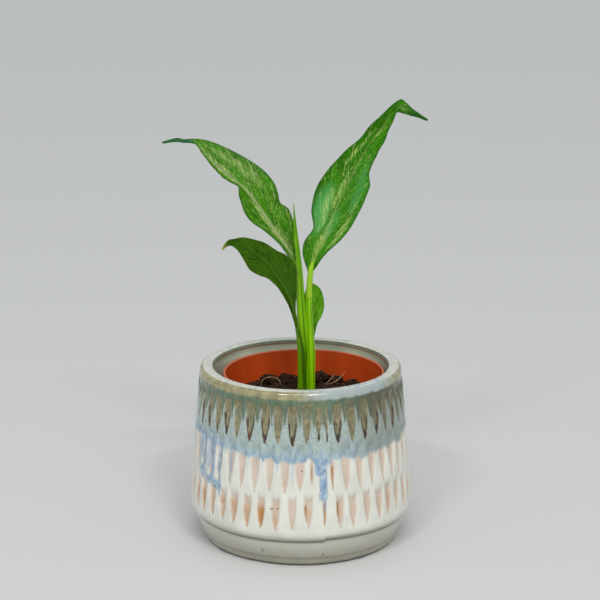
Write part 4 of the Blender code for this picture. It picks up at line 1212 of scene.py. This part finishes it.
def build_blade(name, foot, stations, node, material, keel, keel_radius, stalk, underside=1.0):
    """A leaf blade lofted through its stations, with a channelled midrib and sunken side veins.

    The midrib and veins sink towards the leaf's underside, which is behind it, or in front for -1.
    """
    flat = [[value for point in station for value in point] for station in stations]
    rows = smooth_path(flat, BLADE_STEPS)
    origin = np.array([NURSERY_OFFSET + foot[0], foot[1], CROWN_Z])
    midrib, left, right = (origin + rows[:, k:k + 3] for k in (0, 3, 6))
    side = np.linspace(-1.0, 1.0, BLADE_COLUMNS + 1)[None, :]
    outwards = np.abs(side)
    reach = outwards[..., None]
    edge = np.where(side[..., None] < 0.0, left[:, None], right[:, None])
    depth = (midrib - 0.5 * (left + right))[:, None]
    points = midrib[:, None] + (edge - midrib[:, None]) * reach + depth * 0.5 * (reach - reach * reach)
    normal = unit(np.cross(np.gradient(points, axis=0), np.gradient(points, axis=1)))
    length = path_length(midrib)
    half = np.linalg.norm(edge - midrib[:, None], axis=-1)
    away = half * outwards
    # Side veins leave the midrib at a slant and curve towards the tip
    run = length[:, None] - 1.9 * away - 0.5 * away ** 2 / half.max()
    vein = (0.5 + 0.5 * np.cos(FULL_TURN * run / VEIN_PITCH)) ** 3
    vein = vein * smoothstep(0.4, 1.4, away) * smoothstep(1.0, 0.86, outwards)
    narrow = np.clip(half / 2.0, 0.15, 1.0)
    channel = np.exp(-(away / (0.42 * narrow)) ** 2)
    waves = 0.16 * np.sin(FULL_TURN * (length[:, None] / 9.0 + 0.3 * side)) * outwards ** 2
    lift = (underside * (0.28 * channel + 0.08 * vein) + waves) * narrow
    points = points + normal * lift[..., None]
    level = np.ones_like(away)
    vein_place = np.stack([run, away * np.sign(side), np.zeros_like(run)], axis=-1)
    fields = {
        "side": (side * level).ravel(),
        "along": (length[:, None] / length[-1] * level).ravel(),
        "vein_place": vein_place.reshape(-1, 3),
        "edge": (smoothstep(0.86, 1.0, outwards) * level).ravel(),
        "midrib": np.exp(-(away / (0.55 * narrow)) ** 2).ravel(),
        "vein": vein.ravel(),
    }
    faces = grid_faces(len(rows), BLADE_COLUMNS + 1, False)
    mesh = make_mesh(name, points.reshape(-1, 3), faces, fields)
    blade = add_piece(name, mesh, material, "leaf_blade", node)
    solid = blade.modifiers.new("thickness", "SOLIDIFY")
    solid.thickness = BLADE_THICKNESS * MM
    solid.offset = 0.0
    start = [[origin[k] + point[k] for k in range(3)] for point in stalk[-3:-1]]
    spine = smooth_path([*start, *(origin + np.array(station[0]) for station in stations)], BLADE_STEPS)
    lead = 2 * BLADE_STEPS
    middle = normal[:, BLADE_COLUMNS // 2]
    under = underside * np.vstack([np.repeat(middle[:1], lead, axis=0), middle])
    build_keel(f"{name}_keel", spine, under, lead, keel_radius, keel)


def build_keel(name, path, under, lead, radius, material):
    """The raised midrib on the underside of a blade: it leaves the stalk and tapers towards the tip.

    Its first stretch, lead points long, lies in the stalk.
    """
    length = path_length(path)
    share = (length - length[lead]) / (length[-1] - length[lead])
    keep = share < 0.8
    path, under, share = path[keep], under[keep], share[keep]
    across = unit(np.cross(unit(np.gradient(path, axis=0)), under))
    size = radius * (1.0 - np.clip(share, 0.0, 1.0) / 0.85) ** 0.8
    sunk = smoothstep(-0.02, 0.12, share)
    centre = path + under * ((0.85 * size + 0.25) * sunk)[:, None]
    points = ring_points(centre, across, under, np.repeat(size[:, None], KEEL_SIDES, axis=1))
    fields = {"crease_shade": np.zeros(len(points)), "up": np.repeat(np.clip(share, 0.0, 1.0), KEEL_SIDES)}
    mesh = make_mesh(name, points, tube_faces(len(path), KEEL_SIDES), fields)
    face_outwards(mesh)
    add_piece(name, mesh, material, "leaf_stalk")


def patch_mask(paint, patches):
    """Soft oval places on a blade: place along it and across it, half-length, half-width, strength."""
    along, side = paint.attribute("along"), paint.attribute("side")
    mask = 0.0
    for along_at, side_at, half_length, half_width, strength in patches:
        far_along = paint.maths("DIVIDE", paint.maths("SUBTRACT", along, along_at), half_length)
        far_aside = paint.maths("DIVIDE", paint.maths("SUBTRACT", side, side_at), half_width)
        squared = paint.maths("ADD", paint.times(far_along, far_along),
                              paint.times(far_aside, far_aside))
        mask = paint.maths("MAXIMUM", mask, paint.spread(squared, 1.2, 0.2, 0.0, strength))
    return mask


def leaf_material(name, base, dark, light, streak, edge, midrib, patches=(), cool=(), tip=None,
                  seed=0.0, streak_strength=0.85, midrib_strength=0.8, translucent=0.22):
    """A variegated leaf: streaks run along the side veins, and patches are paler or cooler places."""
    paint = Paint(name, base, Roughness=0.42, Specular_IOR_Level=0.12)
    vein_place = paint.attribute("vein_place", "Vector")
    moved = paint.node("ShaderNodeVectorMath", operation="ADD")
    paint.join(vein_place, moved.inputs[0])
    moved.inputs[1].default_value = (seed, seed * 0.7, seed)
    streaky = paint.noise(1.0, 4.0, paint.place((0.62, 0.3, 1.0), moved.outputs[0]), 0.8)
    flecks = paint.noise(1.0, 4.0, paint.place((2.1, 1.9, 1.0), moved.outputs[0]), 0.3)
    clouds = paint.noise(1.0, 3.0, paint.place((0.16, 0.3, 1.0), moved.outputs[0]))
    broken = paint.spread(flecks, 0.4, 0.58, 0.3, 1.0)
    paint.tint(clouds, 0.35, 0.65, dark)
    paint.tint(flecks, 0.48, 0.62, light, 0.65)
    paint.layer(paint.spread(flecks, 0.6, 0.7, 0.0, 0.6 * streak_strength), streak)
    if cool:
        near = patch_mask(paint, cool)
        paint.layer(paint.times(near, paint.spread(clouds, 0.3, 0.55, 0.4, 1.0)), srgb(84, 172, 92))
    pale = patch_mask(paint, patches) if patches else 0.0
    patchy = paint.times(paint.times(pale, broken), paint.spread(streaky, 0.36, 0.6, 0.2, 1.0))
    streaks = paint.times(paint.spread(streaky, 0.56, 0.68), paint.spread(clouds, 0.4, 0.6, 0.35, 1.0))
    paint.layer(paint.times(paint.times(streaks, broken), streak_strength), streak)
    paint.layer(patchy, streak)
    paint.layer(paint.times(paint.attribute("vein"), 0.22), light)
    fade = paint.spread(paint.attribute("along"), 0.95, 0.25, 0.25, 1.0)
    rib = paint.times(paint.attribute("midrib"), paint.times(fade, midrib_strength))
    paint.layer(rib, midrib)
    paint.layer(paint.times(paint.attribute("edge"), 0.4), edge)
    if tip:
        start, colour = tip
        paint.layer(paint.spread(paint.attribute("along"), start, start + 0.07, 0.0, 0.75), colour)
    paint.bump(flecks, 0.1, 0.4)
    material = paint.finish()
    tree = paint.tree
    glow = paint.node("ShaderNodeBsdfTranslucent")
    paint.join(paint.blend(1.0, paint.colour, srgb(208, 232, 120), "MULTIPLY"), glow.inputs["Color"])
    mix = paint.node("ShaderNodeMixShader")
    mix.inputs[0].default_value = translucent
    tree.links.new(paint.shader.outputs[0], mix.inputs[1])
    tree.links.new(glow.outputs[0], mix.inputs[2])
    tree.links.new(mix.outputs[0], tree.nodes["Material Output"].inputs["Surface"])
    return material


def build_stalks():
    bright, grass = srgb(150, 216, 0), srgb(80, 134, 0)
    build_stalk("lower_stalk", LOWER_FOOT, LOWER_STALK, 1.75, "lower_leaf_stalk",
                ((295.0, 0.75, 0.10, 1.0), (325.0, 0.5, 0.12, 0.9)),
                (srgb(106, 164, 0), srgb(84, 134, 0), srgb(40, 78, 0)))
    build_stalk("right_stalk", RIGHT_FOOT, RIGHT_STALK, 1.52, "right_leaf_stalk",
                ((240.0, 0.35, 0.16, 0.72), (318.0, 0.3, 0.10, 0.6)),
                (bright, srgb(132, 192, 6), grass, (0.652, 0.97)))
    build_stalk("leaf_spear", SPEAR_FOOT, SPEAR, 1.0, "new_leaf_spear",
                ((290.0, 0.45, 0.22, 1.0), (120.0, 0.4, 0.15, 1.0)),
                (srgb(142, 206, 0), srgb(106, 164, 6), srgb(64, 120, 0)))
    build_stalk("left_stalk", LEFT_FOOT, LEFT_STALK, 1.35, "left_leaf_stalk",
                ((250.0, 0.4, 0.14, 0.8),),
                (srgb(134, 194, 0), srgb(132, 192, 8), srgb(78, 134, 0)))
    build_stalk("back_stalk", BACK_FOOT, BACK_STALK, 0.95, "back_leaf_stalk",
                ((270.0, 0.4, 0.12, 0.7),),
                (bright, srgb(158, 220, 0), grass))


def build_leaves():
    """The four blades, each with its keel. Patches and cool places are as in patch_mask."""
    keel = stalk_material("keel_green", srgb(120, 172, 14), srgb(84, 140, 20), srgb(66, 118, 6))
    # A darker olive copy of the green keel for the lower leaf: painted shade on its underside
    shaded_olive_keel = stalk_material("keel_olive_shaded", srgb(66, 110, 2), srgb(56, 94, 6), srgb(42, 80, 0))
    teal_edge = srgb(24, 84, 34)
    right = leaf_material(
        "right_leaf", srgb(46, 130, 0), srgb(24, 92, 0), srgb(96, 172, 8), srgb(200, 226, 128),
        edge=teal_edge, midrib=srgb(176, 206, 110), midrib_strength=0.45,
        patches=((0.4, -0.14, 0.13, 0.1, 0.9), (0.6, -0.5, 0.1, 0.16, 0.8), (0.3, -0.45, 0.12, 0.25, 0.45),
                 (0.2, 0.75, 0.14, 0.14, 0.6), (0.12, 0.0, 0.12, 0.35, 0.7), (0.72, 0.2, 0.1, 0.2, 0.4)),
        cool=((0.3, -0.6, 0.14, 0.4, 0.9), (0.4, 0.65, 0.14, 0.25, 0.5), (0.22, 0.1, 0.08, 0.3, 0.6)),
        tip=(0.86, srgb(16, 84, 20)), seed=3.1)
    left = leaf_material(
        "left_leaf", srgb(56, 130, 0), srgb(30, 98, 0), srgb(112, 172, 20), srgb(206, 224, 140),
        edge=teal_edge, midrib=srgb(204, 214, 156), midrib_strength=0.7,
        patches=((0.62, -0.25, 0.18, 0.16, 0.8), (0.6, 0.6, 0.16, 0.2, 0.55), (0.34, -0.15, 0.2, 0.12, 0.9),
                 (0.15, 0.0, 0.12, 0.4, 0.6), (0.68, 0.1, 0.12, 0.1, 0.8)),
        tip=(0.8, srgb(20, 92, 60)), seed=9.7)
    # The lower leaf shows its underside; its dark olive greens are painted shade, as the underside faces down
    # away from the light
    lower = leaf_material(
        "lower_leaf", srgb(54, 98, 0), srgb(34, 72, 0), srgb(76, 118, 0), srgb(98, 140, 20),
        edge=srgb(88, 110, 10), midrib=srgb(76, 116, 10), streak_strength=0.4, translucent=0.12,
        tip=(0.94, srgb(186, 178, 84)), seed=15.2)
    # Painted light: the back leaf's greens are painted lighter to make up for the shade it sits in
    back = leaf_material(
        "back_leaf", srgb(96, 176, 8), srgb(70, 148, 4), srgb(130, 196, 24), srgb(170, 214, 80),
        edge=teal_edge, midrib=srgb(138, 186, 60), seed=21.4)
    build_blade("right_leaf", RIGHT_FOOT, RIGHT_BLADE, "right_leaf_blade", right, keel, 0.75, RIGHT_STALK)
    build_blade("left_leaf", LEFT_FOOT, LEFT_BLADE, "left_leaf_blade", left, keel, 0.7, LEFT_STALK)
    build_blade("lower_leaf", LOWER_FOOT, LOWER_BLADE, "lower_leaf_blade", lower, shaded_olive_keel, 0.7,
                LOWER_STALK, underside=-1.0)
    build_blade("back_leaf", BACK_FOOT, BACK_BLADE, "back_leaf_blade", back, keel, 0.5, BACK_STALK)


set_camera()
set_light()
build_floor()
build_planter()
build_pads()
build_nursery_pot()
compost = compost_material()
build_soil(compost)
build_clumps(compost)
build_crumbs(compost)
build_fibres()
build_stalks()
build_leaves()
